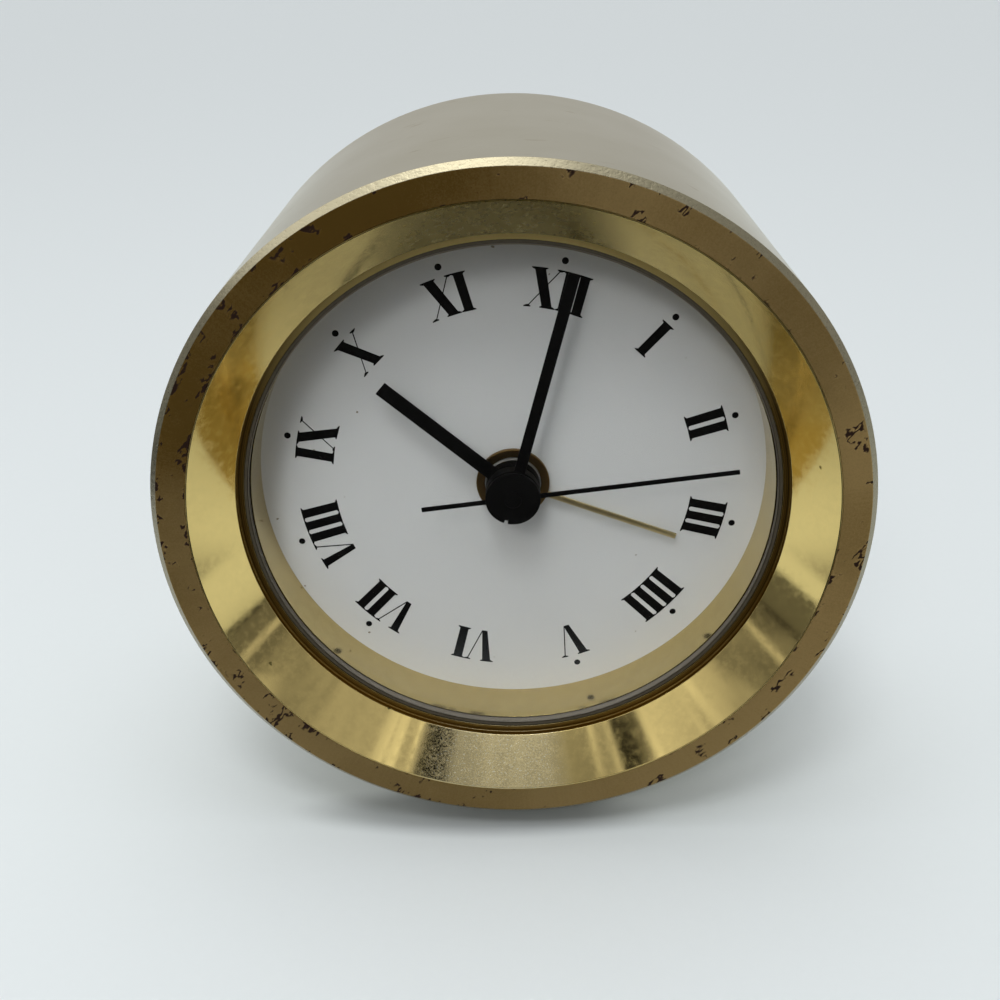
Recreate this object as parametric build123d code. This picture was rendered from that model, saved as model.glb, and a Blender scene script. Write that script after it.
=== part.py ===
from build123d import *
import os
from math import cos, pi, radians, sin, sqrt

# Desk clock: a turned brass drum that lies on its side, with a quartz alarm insert pressed in its bore.
# Sizes are millimetres. The pieces are made round the hand axis, with x to the right, y up and z to the
# viewer, and depths are counted back from the front face. They are then stood on their feet with +Z up.

# Fits
SNUG = 0.04
RUN_CLEARANCE = 0.08
SLIDE_CLEARANCE = 0.15
CUT_OVERRUN = 2.0

# Case, bezel and glass
CAVITY_RADIUS = 29.05
HOUSING_WALL = 1.4
GLASS_LEDGE = 1.25
LAND_WIDTH = 0.75
CONE_WIDTH = 4.25
BEZEL_EDGE = 0.12
FACE_RING_WIDTH = 3.72
SKIRT_WALL = 1.0
SKIRT_LENGTH = 9.0
BORE_CLEARANCE = 0.35
CASE_LENGTH = 44.5
FRONT_CHAMFER = 0.7
REAR_CHAMFER = 0.4
BEZEL_SEAT_DEPTH = 5.0
CONE_DEPTH = 4.7
LAND_STEP = 0.7
GASKET_WALL = 0.35
CRYSTAL_THICKNESS = 1.5
CRYSTAL_INSET = 0.1
CRYSTAL_BEVEL = 0.2
DIAL_OVERLAP = 0.6
DIAL_THICKNESS = 0.4

# Feet under the belly
FOOT_RADIUS = 3.6
FOOT_CHAMFER = 0.5
FOOT_LIFT = 2.3
FOOT_HEIGHT = 7.0
FOOT_SETBACK = 12.0
FOOT_ANGLE = 18.0

# Hands
CRYSTAL_GAP = 0.2
HAND_GAP = 0.3
DIAL_GAP = 0.5
CAP_THICKNESS = 0.5
CAP_CENTRE_RADIUS = 1.0
CAP_CENTRE_RISE = 0.2
CAP_NOTCH_WIDTH = 0.4
CAP_NOTCH_DEPTH = 0.6
CAP_RADIUS = 3.05
MINUTE_BOSS_LENGTH = 1.5
HOUR_BOSS_LENGTH = 1.4
ALARM_HUB_THICKNESS = 0.5
ALARM_HUB_RADIUS = 4.15
HAND_THICKNESS = 0.25
SECOND_LENGTH = 24.9
SECOND_TAIL = 10.2
SECOND_WIDTH = 0.5
MINUTE_LENGTH = 25.8
MINUTE_WIDTH = 1.25
HOUR_LENGTH = 18.7
HOUR_WIDTH = 1.6
ALARM_LENGTH = 20.0
ALARM_WIDTH = 0.65
SECOND_ANGLE = 82.1
MINUTE_ANGLE = 13.7
HOUR_ANGLE = -50.45
ALARM_ANGLE = 109.6
NOTCH_ANGLE = 195.0

# Hand arbor and its tubes
ARBOR_RADIUS = 0.5
TUBE_WALL = 0.8

# Movement plates and layers
HOUSING_FLOOR = 1.5
HOUSING_DEPTH = 18.9
END_SHAKE = 0.3
WHEEL_THICKNESS = 0.8
LAYER_GAP = 0.5
PINION_OVERHANG = 0.15
PLATE_THICKNESS = 1.0
PLATE_RADIUS = 19.5
PLATE_GAP = 0.3
PIVOT_RADIUS = 0.35
PIVOT_INSET = 0.15
STEM_RADIUS = 1.0
PILLAR_RADIUS = 1.5
PILLAR_SHARES = ((-0.82, 0.417), (0.79, 0.432), (-0.41, -0.317))

# Wheels: distances of their axes, directions in degrees and teeth
MOTION_DISTANCE = 8.0
TRAIN_DISTANCE = 8.1
STEP_DISTANCE = 8.5
ROTOR_DISTANCE = 6.93
ALARM_DISTANCE = 8.8
MINUTE_WHEEL_DIRECTION = 150.0
SETTING_DIRECTION = 225.0
THIRD_DIRECTION = 34.0
STEP_DIRECTION = 100.0
ROTOR_DIRECTION = 78.0
ALARM_STEM_DIRECTION = -28.0
CANNON_TEETH, MINUTE_TEETH = 8, 24
MINUTE_PINION_TEETH, HOUR_TEETH = 8, 32
SETTING_TEETH = 12
ALARM_PINION_TEETH, ALARM_TEETH = 10, 30
THIRD_PINION_TEETH, CENTRE_TEETH = 6, 48
SECOND_PINION_TEETH, THIRD_TEETH = 6, 45
STEP_PINION_TEETH, SECOND_TEETH = 6, 30
ROTOR_PINION_TEETH, STEP_TEETH = 6, 36
ADDENDUM_SHARE = 0.85
DEDENDUM_SHARE = 1.15
ROOT_SHARE = 0.2
TIP_SHARE = 0.1

# Step motor
MAGNET_RADIUS = 2.6
MAGNET_LENGTH = 2.4
AIR_GAP = 0.4
STATOR_WIDTH = 22.0
STATOR_BAR = 5.4
STATOR_ARM = 4.0
STATOR_THICKNESS = 0.8
STATOR_RING = 1.2
STATOR_NOTCH = 0.5
CORE_HEIGHT = 2.4
COIL_RADIUS = 2.7
COIL_GAP = 0.6
POST_RADIUS = 1.5

# Circuit
BOARD_THICKNESS = 0.8
BOARD_WIDTH = 22.0
BOARD_HEIGHT = 10.0
BOARD_GAP = 0.3
BOARD_RISE_SHARE = 0.615
QUARTZ_RADIUS = 1.0
QUARTZ_LENGTH = 6.0
QUARTZ_SHARES = (0.25, 0.22)
CHIP_RADIUS = 2.6
CHIP_HEIGHT = 0.9
CHIP_SHARES = (0.24, -0.18)
SOUNDER_RADIUS = 6.5
SOUNDER_HEIGHT = 4.2
SOUNDER_SHARES = (0.568, 0.396)
SOUND_HOLE_RADIUS = 0.6
SOUND_HOLE_CIRCLE = 3.0
SOUND_HOLES = 6
LEAF_THICKNESS = 0.2
LEAF_WIDTH = 1.6
LEAF_FOOT = 2.5
LEAF_REACH = 4.0
LEAF_START = 4.5
LEAF_HEIGHT = 1.5

# Battery, contacts and trough
BATTERY_RADIUS = 5.9
BATTERY_LENGTH = 29.0
BATTERY_NUB_RADIUS = 2.0
BATTERY_NUB_LENGTH = 1.2
BATTERY_PLAY = 0.2
CONTACT_THICKNESS = 0.4
CONTACT_WIDTH = 7.0
CONTACT_BOW = 0.9
TROUGH_WALL = 1.0
TROUGH_MARGIN = 0.2

# Rear cover, door, screws, switch and knobs
COVER_THICKNESS = 1.5
DOOR_THICKNESS = 0.8
DOOR_LEDGE = 0.8
DOOR_RIBS = 3
DOOR_RIB_PITCH = 2.0
DOOR_RIB_WIDTH = 0.8
DOOR_RIB_LENGTH = 9.0
DOOR_RIB_HEIGHT = 0.4
SCREW_RADIUS = 0.9
SCREW_LENGTH = 8.0
SCREW_HEAD_RADIUS = 1.8
SCREW_HEAD_HEIGHT = 0.9
SCREW_SLOT_WIDTH = 0.5
SCREW_SLOT_DEPTH = 0.4
SCREW_BOSS_RADIUS = 2.3
SCREW_BOSS_BITE = 0.3
COVER_SCREW_ANGLES = (55.0, 125.0, 195.0, 345.0)
PLATE_SCREW_RADIUS = 0.7
PLATE_SCREW_BITE = 1.5
PLATE_SCREW_TIP_GAP = 1.0
PLATE_HEAD_RADIUS = 1.3
PLATE_HEAD_HEIGHT = 0.8
SWITCH_WIDTH = 5.0
SWITCH_HEIGHT = 4.0
SWITCH_NUB_WIDTH = 2.4
SWITCH_NUB_HEIGHT = 3.0
SWITCH_NUB_RISE = 1.6
SWITCH_TRAVEL = 3.0
SWITCH_INSET = 0.1
SWITCH_RISE_SHARE = 0.1
KNOB_RADIUS = 3.6
KNOB_GROOVE = 0.3
KNOB_FLUTES = 20
KNOB_LENGTH = 5.2
KNOB_GAP = 0.3
KNOB_BORE_DEPTH = 3.6

# Retaining ring round the insert
RETAINER_GAP = 0.3
RETAINER_LENGTH = 8.0
RETAINER_RIB = 0.6
RETAINER_RIBS = 3

# Radii, from the cavity of the housing outwards
housing_radius = CAVITY_RADIUS + HOUSING_WALL
skirt_bore = housing_radius + SNUG
skirt_radius = skirt_bore + SKIRT_WALL
bore_radius = skirt_radius + BORE_CLEARANCE
rim_radius = skirt_bore - GLASS_LEDGE
cone_inner = rim_radius + LAND_WIDTH
bezel_radius = cone_inner + CONE_WIDTH
seat_radius = bezel_radius + SNUG
case_radius = seat_radius + FACE_RING_WIDTH
gasket_outer = rim_radius - SNUG
gasket_inner = gasket_outer - GASKET_WALL
crystal_radius = gasket_inner - SNUG
dial_opening = rim_radius - DIAL_OVERLAP
axis_height = case_radius + FOOT_LIFT
cannon_bore = ARBOR_RADIUS + RUN_CLEARANCE
cannon_radius = cannon_bore + TUBE_WALL
hour_bore = cannon_radius + RUN_CLEARANCE
hour_radius = hour_bore + TUBE_WALL
alarm_bore = hour_radius + RUN_CLEARANCE
alarm_radius = alarm_bore + TUBE_WALL
floor_hole = alarm_radius + RUN_CLEARANCE

# Depths, from the front face back
land_depth = CONE_DEPTH + LAND_STEP
crystal_front = land_depth + CRYSTAL_INSET
crystal_back = crystal_front + CRYSTAL_THICKNESS
cap_front = crystal_back + CRYSTAL_GAP + CAP_CENTRE_RISE
cap_back = cap_front + CAP_THICKNESS
minute_front = cap_back + HAND_GAP
minute_back = minute_front + MINUTE_BOSS_LENGTH
hour_front = minute_back + HAND_GAP
hour_back = hour_front + HOUR_BOSS_LENGTH
alarm_front = hour_back + HAND_GAP
alarm_back = alarm_front + ALARM_HUB_THICKNESS
dial_front = alarm_back + DIAL_GAP
dial_back = dial_front + DIAL_THICKNESS
floor_back = dial_back + HOUSING_FLOOR
socket_end = floor_back - HOUSING_FLOOR / 2
layer_step = WHEEL_THICKNESS + LAYER_GAP
alarm_layer = floor_back + END_SHAKE
hour_layer = alarm_layer + layer_step
motion_layer = hour_layer + layer_step
middle_front = motion_layer + layer_step
middle_back = middle_front + PLATE_THICKNESS
centre_layer = middle_back + END_SHAKE
third_layer = centre_layer + layer_step
second_layer = third_layer + layer_step
step_layer = second_layer + layer_step
rear_front = step_layer + layer_step
rear_back = rear_front + PLATE_THICKNESS
board_back = rear_back + BOARD_THICKNESS
cover_front = dial_back + HOUSING_DEPTH
cover_back = cover_front + COVER_THICKNESS
knob_front = cover_back + KNOB_GAP
knob_back = knob_front + KNOB_LENGTH
skirt_back = crystal_back + SKIRT_LENGTH

# Battery trough, as low as the round housing lets its corners go
battery_whole = BATTERY_LENGTH + BATTERY_NUB_LENGTH
trough_half = battery_whole / 2 + CONTACT_THICKNESS + CONTACT_BOW + BATTERY_PLAY
trough_outer_half = trough_half + TROUGH_WALL
trough_height = 2 * (BATTERY_RADIUS + BATTERY_PLAY)
trough_bottom = TROUGH_WALL - sqrt((CAVITY_RADIUS - TROUGH_MARGIN) ** 2 - trough_outer_half**2)
trough_top = trough_bottom + trough_height
battery_height = trough_bottom + trough_height / 2
battery_depth = cover_front - BATTERY_PLAY - BATTERY_RADIUS
trough_front = battery_depth - BATTERY_RADIUS - BATTERY_PLAY
plate_bottom = trough_top + TROUGH_WALL + PLATE_GAP


def toward(start, distance, direction):
    """The place at a distance from another, in a direction counted in degrees from the right."""
    angle = radians(direction)
    return start[0] + distance * cos(angle), start[1] + distance * sin(angle)


def placed(shares, size):
    """A place given as shares of a size."""
    return shares[0] * size, shares[1] * size


CENTRE = (0, 0)
minute_axis = toward(CENTRE, MOTION_DISTANCE, MINUTE_WHEEL_DIRECTION)
motion_module = 2 * MOTION_DISTANCE / (CANNON_TEETH + MINUTE_TEETH)
hour_module = 2 * MOTION_DISTANCE / (MINUTE_PINION_TEETH + HOUR_TEETH)
setting_distance = motion_module * (MINUTE_TEETH + SETTING_TEETH) / 2
setting_axis = toward(minute_axis, setting_distance, SETTING_DIRECTION)
alarm_axis = toward(CENTRE, ALARM_DISTANCE, ALARM_STEM_DIRECTION)
alarm_module = 2 * ALARM_DISTANCE / (ALARM_TEETH + ALARM_PINION_TEETH)
third_axis = toward(CENTRE, TRAIN_DISTANCE, THIRD_DIRECTION)
centre_module = 2 * TRAIN_DISTANCE / (CENTRE_TEETH + THIRD_PINION_TEETH)
third_module = 2 * TRAIN_DISTANCE / (THIRD_TEETH + SECOND_PINION_TEETH)
step_axis = toward(CENTRE, STEP_DISTANCE, STEP_DIRECTION)
second_module = 2 * STEP_DISTANCE / (SECOND_TEETH + STEP_PINION_TEETH)
rotor_axis = toward(step_axis, ROTOR_DISTANCE, ROTOR_DIRECTION)
step_module = 2 * ROTOR_DISTANCE / (STEP_TEETH + ROTOR_PINION_TEETH)
pillar_places = [placed(shares, PLATE_RADIUS) for shares in PILLAR_SHARES]
stator_hole = MAGNET_RADIUS + AIR_GAP
stator_rim = stator_hole + STATOR_RING
coil_length = STATOR_WIDTH - 2 * (STATOR_ARM + COIL_GAP)
coil_height = rotor_axis[1] + stator_rim + COIL_GAP + COIL_RADIUS
board_left = pillar_places[0][0] + PLATE_HEAD_RADIUS + BOARD_GAP
board_place = (board_left + BOARD_WIDTH / 2, BOARD_RISE_SHARE * PLATE_RADIUS)
sounder_place = placed(SOUNDER_SHARES, CAVITY_RADIUS)
switch_x = board_left + SWITCH_INSET + SWITCH_WIDTH / 2
switch_place = (switch_x, board_place[1] + SWITCH_RISE_SHARE * BOARD_HEIGHT)
screw_circle = CAVITY_RADIUS + SCREW_BOSS_BITE - SCREW_BOSS_RADIUS
screw_places = [toward(CENTRE, screw_circle, angle) for angle in COVER_SCREW_ANGLES]

clock_frame = Plane(origin=(0, -CASE_LENGTH / 2, axis_height), x_dir=(1, 0, 0), z_dir=(0, -1, 0)).location
pieces = {}


def rod(radius, front, back, at=CENTRE):
    """A round rod along the hand axis between two depths."""
    solid = Cylinder(radius, back - front, align=(Align.CENTER, Align.CENTER, Align.MAX))
    return Pos(at[0], at[1], -front) * solid


def tube(outer, inner, front, back, at=CENTRE):
    """A rod with a bore right through."""
    return rod(outer, front, back, at) - rod(inner, front - CUT_OVERRUN, back + CUT_OVERRUN, at)


def slab(sketch, front, back):
    """A flat outline given thickness between two depths."""
    return Pos(0, 0, -back) * extrude(sketch, amount=back - front, dir=(0, 0, 1))


def block(width, height, front, back, at=CENTRE):
    """A rectangular block, by its middle and its depths."""
    return slab(Pos(at[0], at[1]) * Rectangle(width, height), front, back)


def turned(profile):
    """A turned piece, from its radius and depth at each corner."""
    outline = Polygon(*[(radius, -depth) for radius, depth in profile], align=None)
    return revolve(Plane.XZ * outline, Axis.Z)


def clockwise(sketch, angle):
    """A hand's outline drawn pointing up, turned clockwise as the viewer sees it."""
    return Rot(0, 0, -angle) * sketch


def meshing_phase(teeth, phase, direction, mate_teeth):
    """The phase that puts a wheel's gap on its mate's tooth. Phases and the direction are in radians."""
    return direction + pi + (pi - teeth * (phase - direction)) / mate_teeth


def toothed(teeth, module, phase, front, back, at=CENTRE):
    """A wheel or pinion with tapered teeth, one of which points at the phase."""
    pitch = 2 * pi / teeth
    pitch_radius = module * teeth / 2
    root = pitch_radius - DEDENDUM_SHARE * module
    tip = pitch_radius + ADDENDUM_SHARE * module
    corners = []
    for tooth in range(teeth):
        middle = phase + tooth * pitch
        for radius, share in ((root, -ROOT_SHARE), (tip, -TIP_SHARE), (tip, TIP_SHARE), (root, ROOT_SHARE)):
            angle = middle + share * pitch
            corners.append((at[0] + radius * cos(angle), at[1] + radius * sin(angle)))
    return slab(Polygon(*corners, align=None), front, back)


def wheel(teeth, module, phase, layer, at=CENTRE):
    """A toothed wheel in its layer."""
    return toothed(teeth, module, phase, layer, layer + WHEEL_THICKNESS, at)


def pinion(teeth, module, phase, layer, at=CENTRE):
    """A pinion a little wider than the wheel that it meets."""
    front = layer - PINION_OVERHANG
    back = layer + WHEEL_THICKNESS + PINION_OVERHANG
    return toothed(teeth, module, phase, front, back, at)


def screw(shank, length, head, head_height, seat, at):
    """A slotted screw, driven in from the rear, whose head rests at a depth."""
    solid = rod(shank, seat - length, seat, at) + rod(head, seat, seat + head_height, at)
    slot = block(2 * head, SCREW_SLOT_WIDTH, seat + head_height - SCREW_SLOT_DEPTH, seat + head_height, at)
    return solid - slot


def drilled(solid, front, back, holes):
    """A piece with round holes right through, each given by its place and radius."""
    for place, radius in holes:
        solid -= rod(radius, front - CUT_OVERRUN, back + CUT_OVERRUN, place)
    return solid


# Brass case and feet

def make_case():
    profile = (
        (seat_radius, 0),
        (case_radius - FRONT_CHAMFER, 0),
        (case_radius, FRONT_CHAMFER),
        (case_radius, CASE_LENGTH - REAR_CHAMFER),
        (case_radius - REAR_CHAMFER, CASE_LENGTH),
        (bore_radius, CASE_LENGTH),
        (bore_radius, BEZEL_SEAT_DEPTH),
        (seat_radius, BEZEL_SEAT_DEPTH),
    )
    pieces["case_body"] = turned(profile)


def make_feet():
    reach = case_radius * sin(radians(FOOT_ANGLE))
    belly = rod(case_radius + SNUG, -CUT_OVERRUN, CASE_LENGTH + CUT_OVERRUN)
    bumper = Cylinder(FOOT_RADIUS, FOOT_HEIGHT, align=(Align.CENTER, Align.CENTER, Align.MIN))
    bumper = chamfer(bumper.edges().sort_by(Axis.Z)[0], FOOT_CHAMFER)
    for side, place_x in (("left", -reach), ("right", reach)):
        for end, depth in (("front", FOOT_SETBACK), ("rear", CASE_LENGTH - FOOT_SETBACK)):
            foot = Pos(place_x, -axis_height, -depth) * Rot(-90, 0, 0) * bumper
            pieces[f"foot_{end}_{side}"] = foot - belly


# Bezel, glass and dial

def make_bezel():
    profile = (
        (bezel_radius - BEZEL_EDGE, 0),
        (bezel_radius, 0),
        (bezel_radius, BEZEL_SEAT_DEPTH),
        (skirt_radius, BEZEL_SEAT_DEPTH),
        (skirt_radius, skirt_back),
        (skirt_bore, skirt_back),
        (skirt_bore, crystal_back),
        (rim_radius, crystal_back),
        (rim_radius, land_depth),
        (cone_inner, land_depth),
        (cone_inner, CONE_DEPTH),
    )
    pieces["bezel"] = turned(profile)


def make_glass():
    profile = (
        (0, crystal_front),
        (crystal_radius - CRYSTAL_BEVEL, crystal_front),
        (crystal_radius, crystal_front + CRYSTAL_BEVEL),
        (crystal_radius, crystal_back),
        (0, crystal_back),
    )
    pieces["crystal"] = turned(profile)
    pieces["crystal_gasket"] = tube(gasket_outer, gasket_inner, crystal_front, crystal_back)


def make_dial():
    seated = skirt_bore - SNUG
    pieces["dial_ring"] = tube(seated, dial_opening, crystal_back, dial_front)
    pieces["dial"] = tube(seated, floor_hole, dial_front, dial_back)


# Hands, each on its boss

def blade(width, length, tail, middle, angle):
    """A straight flat hand at a depth, from its tail past the axis to its tip."""
    outline = Pos(0, -tail) * Rectangle(width, length + tail, align=(Align.CENTER, Align.MIN))
    return slab(clockwise(outline, angle), middle - HAND_THICKNESS / 2, middle + HAND_THICKNESS / 2)


def make_hands():
    cap_middle = (cap_front + cap_back) / 2
    notch = Pos(0, CAP_RADIUS) * Rectangle(CAP_NOTCH_WIDTH, 2 * CAP_NOTCH_DEPTH)
    second = rod(CAP_RADIUS, cap_front, cap_back)
    second += rod(CAP_CENTRE_RADIUS, cap_front - CAP_CENTRE_RISE, cap_front)
    second -= slab(clockwise(notch, NOTCH_ANGLE), cap_front - CUT_OVERRUN, cap_back + CUT_OVERRUN)
    second += blade(SECOND_WIDTH, SECOND_LENGTH, SECOND_TAIL, cap_middle, SECOND_ANGLE)
    pieces["second_hand"] = second - rod(ARBOR_RADIUS + SNUG, cap_middle, cap_back + CUT_OVERRUN)

    minute = rod(CAP_RADIUS, minute_front, minute_back)
    minute += blade(MINUTE_WIDTH, MINUTE_LENGTH, 0, minute_front + HAND_THICKNESS, MINUTE_ANGLE)
    pieces["minute_hand"] = drilled(minute, minute_front, minute_back, [(CENTRE, cannon_radius + SNUG)])

    hour = rod(CAP_RADIUS, hour_front, hour_back)
    hour += blade(HOUR_WIDTH, HOUR_LENGTH, 0, hour_front + HAND_THICKNESS, HOUR_ANGLE)
    pieces["hour_hand"] = drilled(hour, hour_front, hour_back, [(CENTRE, hour_radius + SNUG)])

    alarm = rod(ALARM_HUB_RADIUS, alarm_front, alarm_back)
    alarm += blade(ALARM_WIDTH, ALARM_LENGTH, 0, (alarm_front + alarm_back) / 2, ALARM_ANGLE)
    pieces["alarm_hand"] = drilled(alarm, alarm_front, alarm_back, [(CENTRE, alarm_radius + SNUG)])


# Housing of the insert, with posts, bearings and screw bosses moulded in

def make_housing():
    cup = rod(housing_radius, dial_back, cover_front)
    cup -= rod(CAVITY_RADIUS, floor_back, cover_front + CUT_OVERRUN)
    cavity = rod(CAVITY_RADIUS + HOUSING_WALL / 2, floor_back, cover_front)
    screw_hole = PLATE_SCREW_BITE + PLATE_SCREW_TIP_GAP
    for place in screw_places:
        cup += rod(SCREW_BOSS_RADIUS, floor_back, cover_front, place) & cavity
        cup -= rod(SCREW_RADIUS + SNUG, cover_front - SCREW_LENGTH, cover_front + CUT_OVERRUN, place)
    for place in pillar_places:
        cup += rod(PILLAR_RADIUS, floor_back, middle_front, place)
        cup -= rod(PLATE_SCREW_RADIUS + SNUG, middle_front - screw_hole, middle_front + CUT_OVERRUN, place)
    cup -= rod(floor_hole, dial_back - CUT_OVERRUN, floor_back + CUT_OVERRUN)
    for axis, radius in ((minute_axis, ARBOR_RADIUS), (setting_axis, STEM_RADIUS), (alarm_axis, STEM_RADIUS)):
        cup -= rod(radius + RUN_CLEARANCE, socket_end, floor_back + CUT_OVERRUN, axis)
    pieces["insert_housing"] = cup


def make_retaining_ring():
    front = skirt_back + RETAINER_GAP
    inner = housing_radius + SNUG
    rib_top = bore_radius - SNUG
    pitch = RETAINER_LENGTH / RETAINER_RIBS
    profile = [(inner, front)]
    for rib in range(RETAINER_RIBS):
        start = front + rib * pitch
        profile += [(rib_top - RETAINER_RIB, start), (rib_top, start + pitch / 2)]
    profile += [(rib_top - RETAINER_RIB, front + RETAINER_LENGTH), (inner, front + RETAINER_LENGTH)]
    pieces["retaining_ring"] = turned(profile)


# Plates that carry the wheels

def plate_outline():
    whole = 2 * PLATE_RADIUS
    above = Pos(0, plate_bottom) * Rectangle(whole, whole, align=(Align.CENTER, Align.MIN))
    return Circle(PLATE_RADIUS) & above


def make_plates():
    pivot_hole = PIVOT_RADIUS + RUN_CLEARANCE
    stem_hole = STEM_RADIUS + RUN_CLEARANCE
    train_holes = [(axis, pivot_hole) for axis in (third_axis, step_axis, rotor_axis)]
    stem_holes = [(axis, stem_hole) for axis in (setting_axis, alarm_axis)]
    screw_holes = [(place, PLATE_SCREW_RADIUS + SNUG) for place in pillar_places]
    shared = train_holes + stem_holes + screw_holes

    middle = slab(plate_outline(), middle_front, middle_back)
    for place in pillar_places:
        middle += rod(PILLAR_RADIUS, middle_back, rear_front, place)
    for post_x in (-(STATOR_WIDTH - STATOR_ARM) / 2, (STATOR_WIDTH - STATOR_ARM) / 2):
        middle += rod(POST_RADIUS, middle_back, third_layer, (post_x, rotor_axis[1]))
    own = [(CENTRE, cannon_radius + RUN_CLEARANCE), (minute_axis, ARBOR_RADIUS + RUN_CLEARANCE)]
    pieces["middle_plate"] = drilled(middle, middle_front, rear_front, shared + own)

    rear = slab(plate_outline(), rear_front, rear_back)
    own = [(CENTRE, ARBOR_RADIUS + RUN_CLEARANCE)]
    pieces["rear_plate"] = drilled(rear, rear_front, rear_back, shared + own)

    length = rear_back - middle_front + PLATE_SCREW_BITE
    pieces["plate_screws"] = Compound(
        [
            screw(PLATE_SCREW_RADIUS, length, PLATE_HEAD_RADIUS, PLATE_HEAD_HEIGHT, rear_back, place)
            for place in pillar_places
        ]
    )


# Wheels of the going train, from the rotor to the centre wheel

def make_train():
    arbor_front = middle_front + PIVOT_INSET
    arbor_back = rear_back - PIVOT_INSET

    centre_phase = meshing_phase(THIRD_PINION_TEETH, 0, radians(THIRD_DIRECTION) + pi, CENTRE_TEETH)
    centre = wheel(CENTRE_TEETH, centre_module, centre_phase, centre_layer)
    centre_back = centre_layer + WHEEL_THICKNESS
    cannon_hole = [(CENTRE, cannon_radius + RUN_CLEARANCE)]
    pieces["centre_wheel"] = drilled(centre, centre_layer, centre_back, cannon_hole)

    third = rod(PIVOT_RADIUS, arbor_front, arbor_back, third_axis)
    third += pinion(THIRD_PINION_TEETH, centre_module, 0, centre_layer, third_axis)
    third += wheel(THIRD_TEETH, third_module, 0, third_layer, third_axis)
    pieces["third_wheel"] = third

    second_pinion_phase = meshing_phase(THIRD_TEETH, 0, radians(THIRD_DIRECTION) + pi, SECOND_PINION_TEETH)
    second_phase = meshing_phase(STEP_PINION_TEETH, 0, radians(STEP_DIRECTION) + pi, SECOND_TEETH)
    second = rod(ARBOR_RADIUS, (cap_front + cap_back) / 2, arbor_back)
    second += pinion(SECOND_PINION_TEETH, third_module, second_pinion_phase, third_layer)
    second += wheel(SECOND_TEETH, second_module, second_phase, second_layer)
    pieces["second_wheel"] = second

    step = rod(PIVOT_RADIUS, arbor_front, arbor_back, step_axis)
    step += pinion(STEP_PINION_TEETH, second_module, 0, second_layer, step_axis)
    step += wheel(STEP_TEETH, step_module, 0, step_layer, step_axis)
    pieces["intermediate_wheel"] = step

    rotor_phase = meshing_phase(STEP_TEETH, 0, radians(ROTOR_DIRECTION), ROTOR_PINION_TEETH)
    rotor = rod(PIVOT_RADIUS, arbor_front, arbor_back, rotor_axis)
    rotor += pinion(ROTOR_PINION_TEETH, step_module, rotor_phase, step_layer, rotor_axis)
    pieces["rotor_pinion"] = rotor
    magnet_front = third_layer + STATOR_THICKNESS / 2 - MAGNET_LENGTH / 2
    magnet_back = magnet_front + MAGNET_LENGTH
    pieces["rotor_magnet"] = tube(MAGNET_RADIUS, PIVOT_RADIUS + SNUG, magnet_front, magnet_back, rotor_axis)


# Wheels under the dial, from the cannon pinion to the hour hand, and the alarm wheel

def make_motion_work():
    minute_to_centre = radians(MINUTE_WHEEL_DIRECTION) + pi
    cannon_phase = meshing_phase(MINUTE_TEETH, 0, minute_to_centre, CANNON_TEETH)
    cannon = rod(cannon_radius, minute_front, centre_layer + WHEEL_THICKNESS)
    cannon += pinion(CANNON_TEETH, motion_module, cannon_phase, motion_layer)
    pieces["cannon_pinion"] = cannon - rod(cannon_bore, minute_front - CUT_OVERRUN, rear_front)

    minute = rod(ARBOR_RADIUS, socket_end + PIVOT_INSET, middle_back - PIVOT_INSET, minute_axis)
    minute += pinion(MINUTE_PINION_TEETH, hour_module, 0, hour_layer, minute_axis)
    minute += wheel(MINUTE_TEETH, motion_module, 0, motion_layer, minute_axis)
    pieces["minute_wheel"] = minute

    hour_phase = meshing_phase(MINUTE_PINION_TEETH, 0, minute_to_centre, HOUR_TEETH)
    hour_wheel_back = hour_layer + WHEEL_THICKNESS
    hour = rod(hour_radius, hour_front, hour_wheel_back)
    hour += wheel(HOUR_TEETH, hour_module, hour_phase, hour_layer)
    pieces["hour_wheel"] = drilled(hour, hour_front, hour_wheel_back, [(CENTRE, hour_bore)])

    alarm_wheel_back = alarm_layer + WHEEL_THICKNESS
    alarm = rod(alarm_radius, alarm_front, alarm_wheel_back)
    alarm += wheel(ALARM_TEETH, alarm_module, 0, alarm_layer)
    pieces["alarm_wheel"] = drilled(alarm, alarm_front, alarm_wheel_back, [(CENTRE, alarm_bore)])


# Setting stems with their pinions, and the fluted knobs at the rear

def knob(at):
    flutes = []
    for flute in range(KNOB_FLUTES):
        for half, radius in ((0, KNOB_RADIUS), (1, KNOB_RADIUS - KNOB_GROOVE)):
            angle = pi * (2 * flute + half) / KNOB_FLUTES
            flutes.append((at[0] + radius * cos(angle), at[1] + radius * sin(angle)))
    grip = slab(Polygon(*flutes, align=None), knob_front, knob_back)
    return grip - rod(STEM_RADIUS + SNUG, knob_front - CUT_OVERRUN, knob_front + KNOB_BORE_DEPTH, at)


def stem(at):
    return rod(STEM_RADIUS, socket_end + PIVOT_INSET, knob_front + KNOB_BORE_DEPTH, at)


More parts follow.
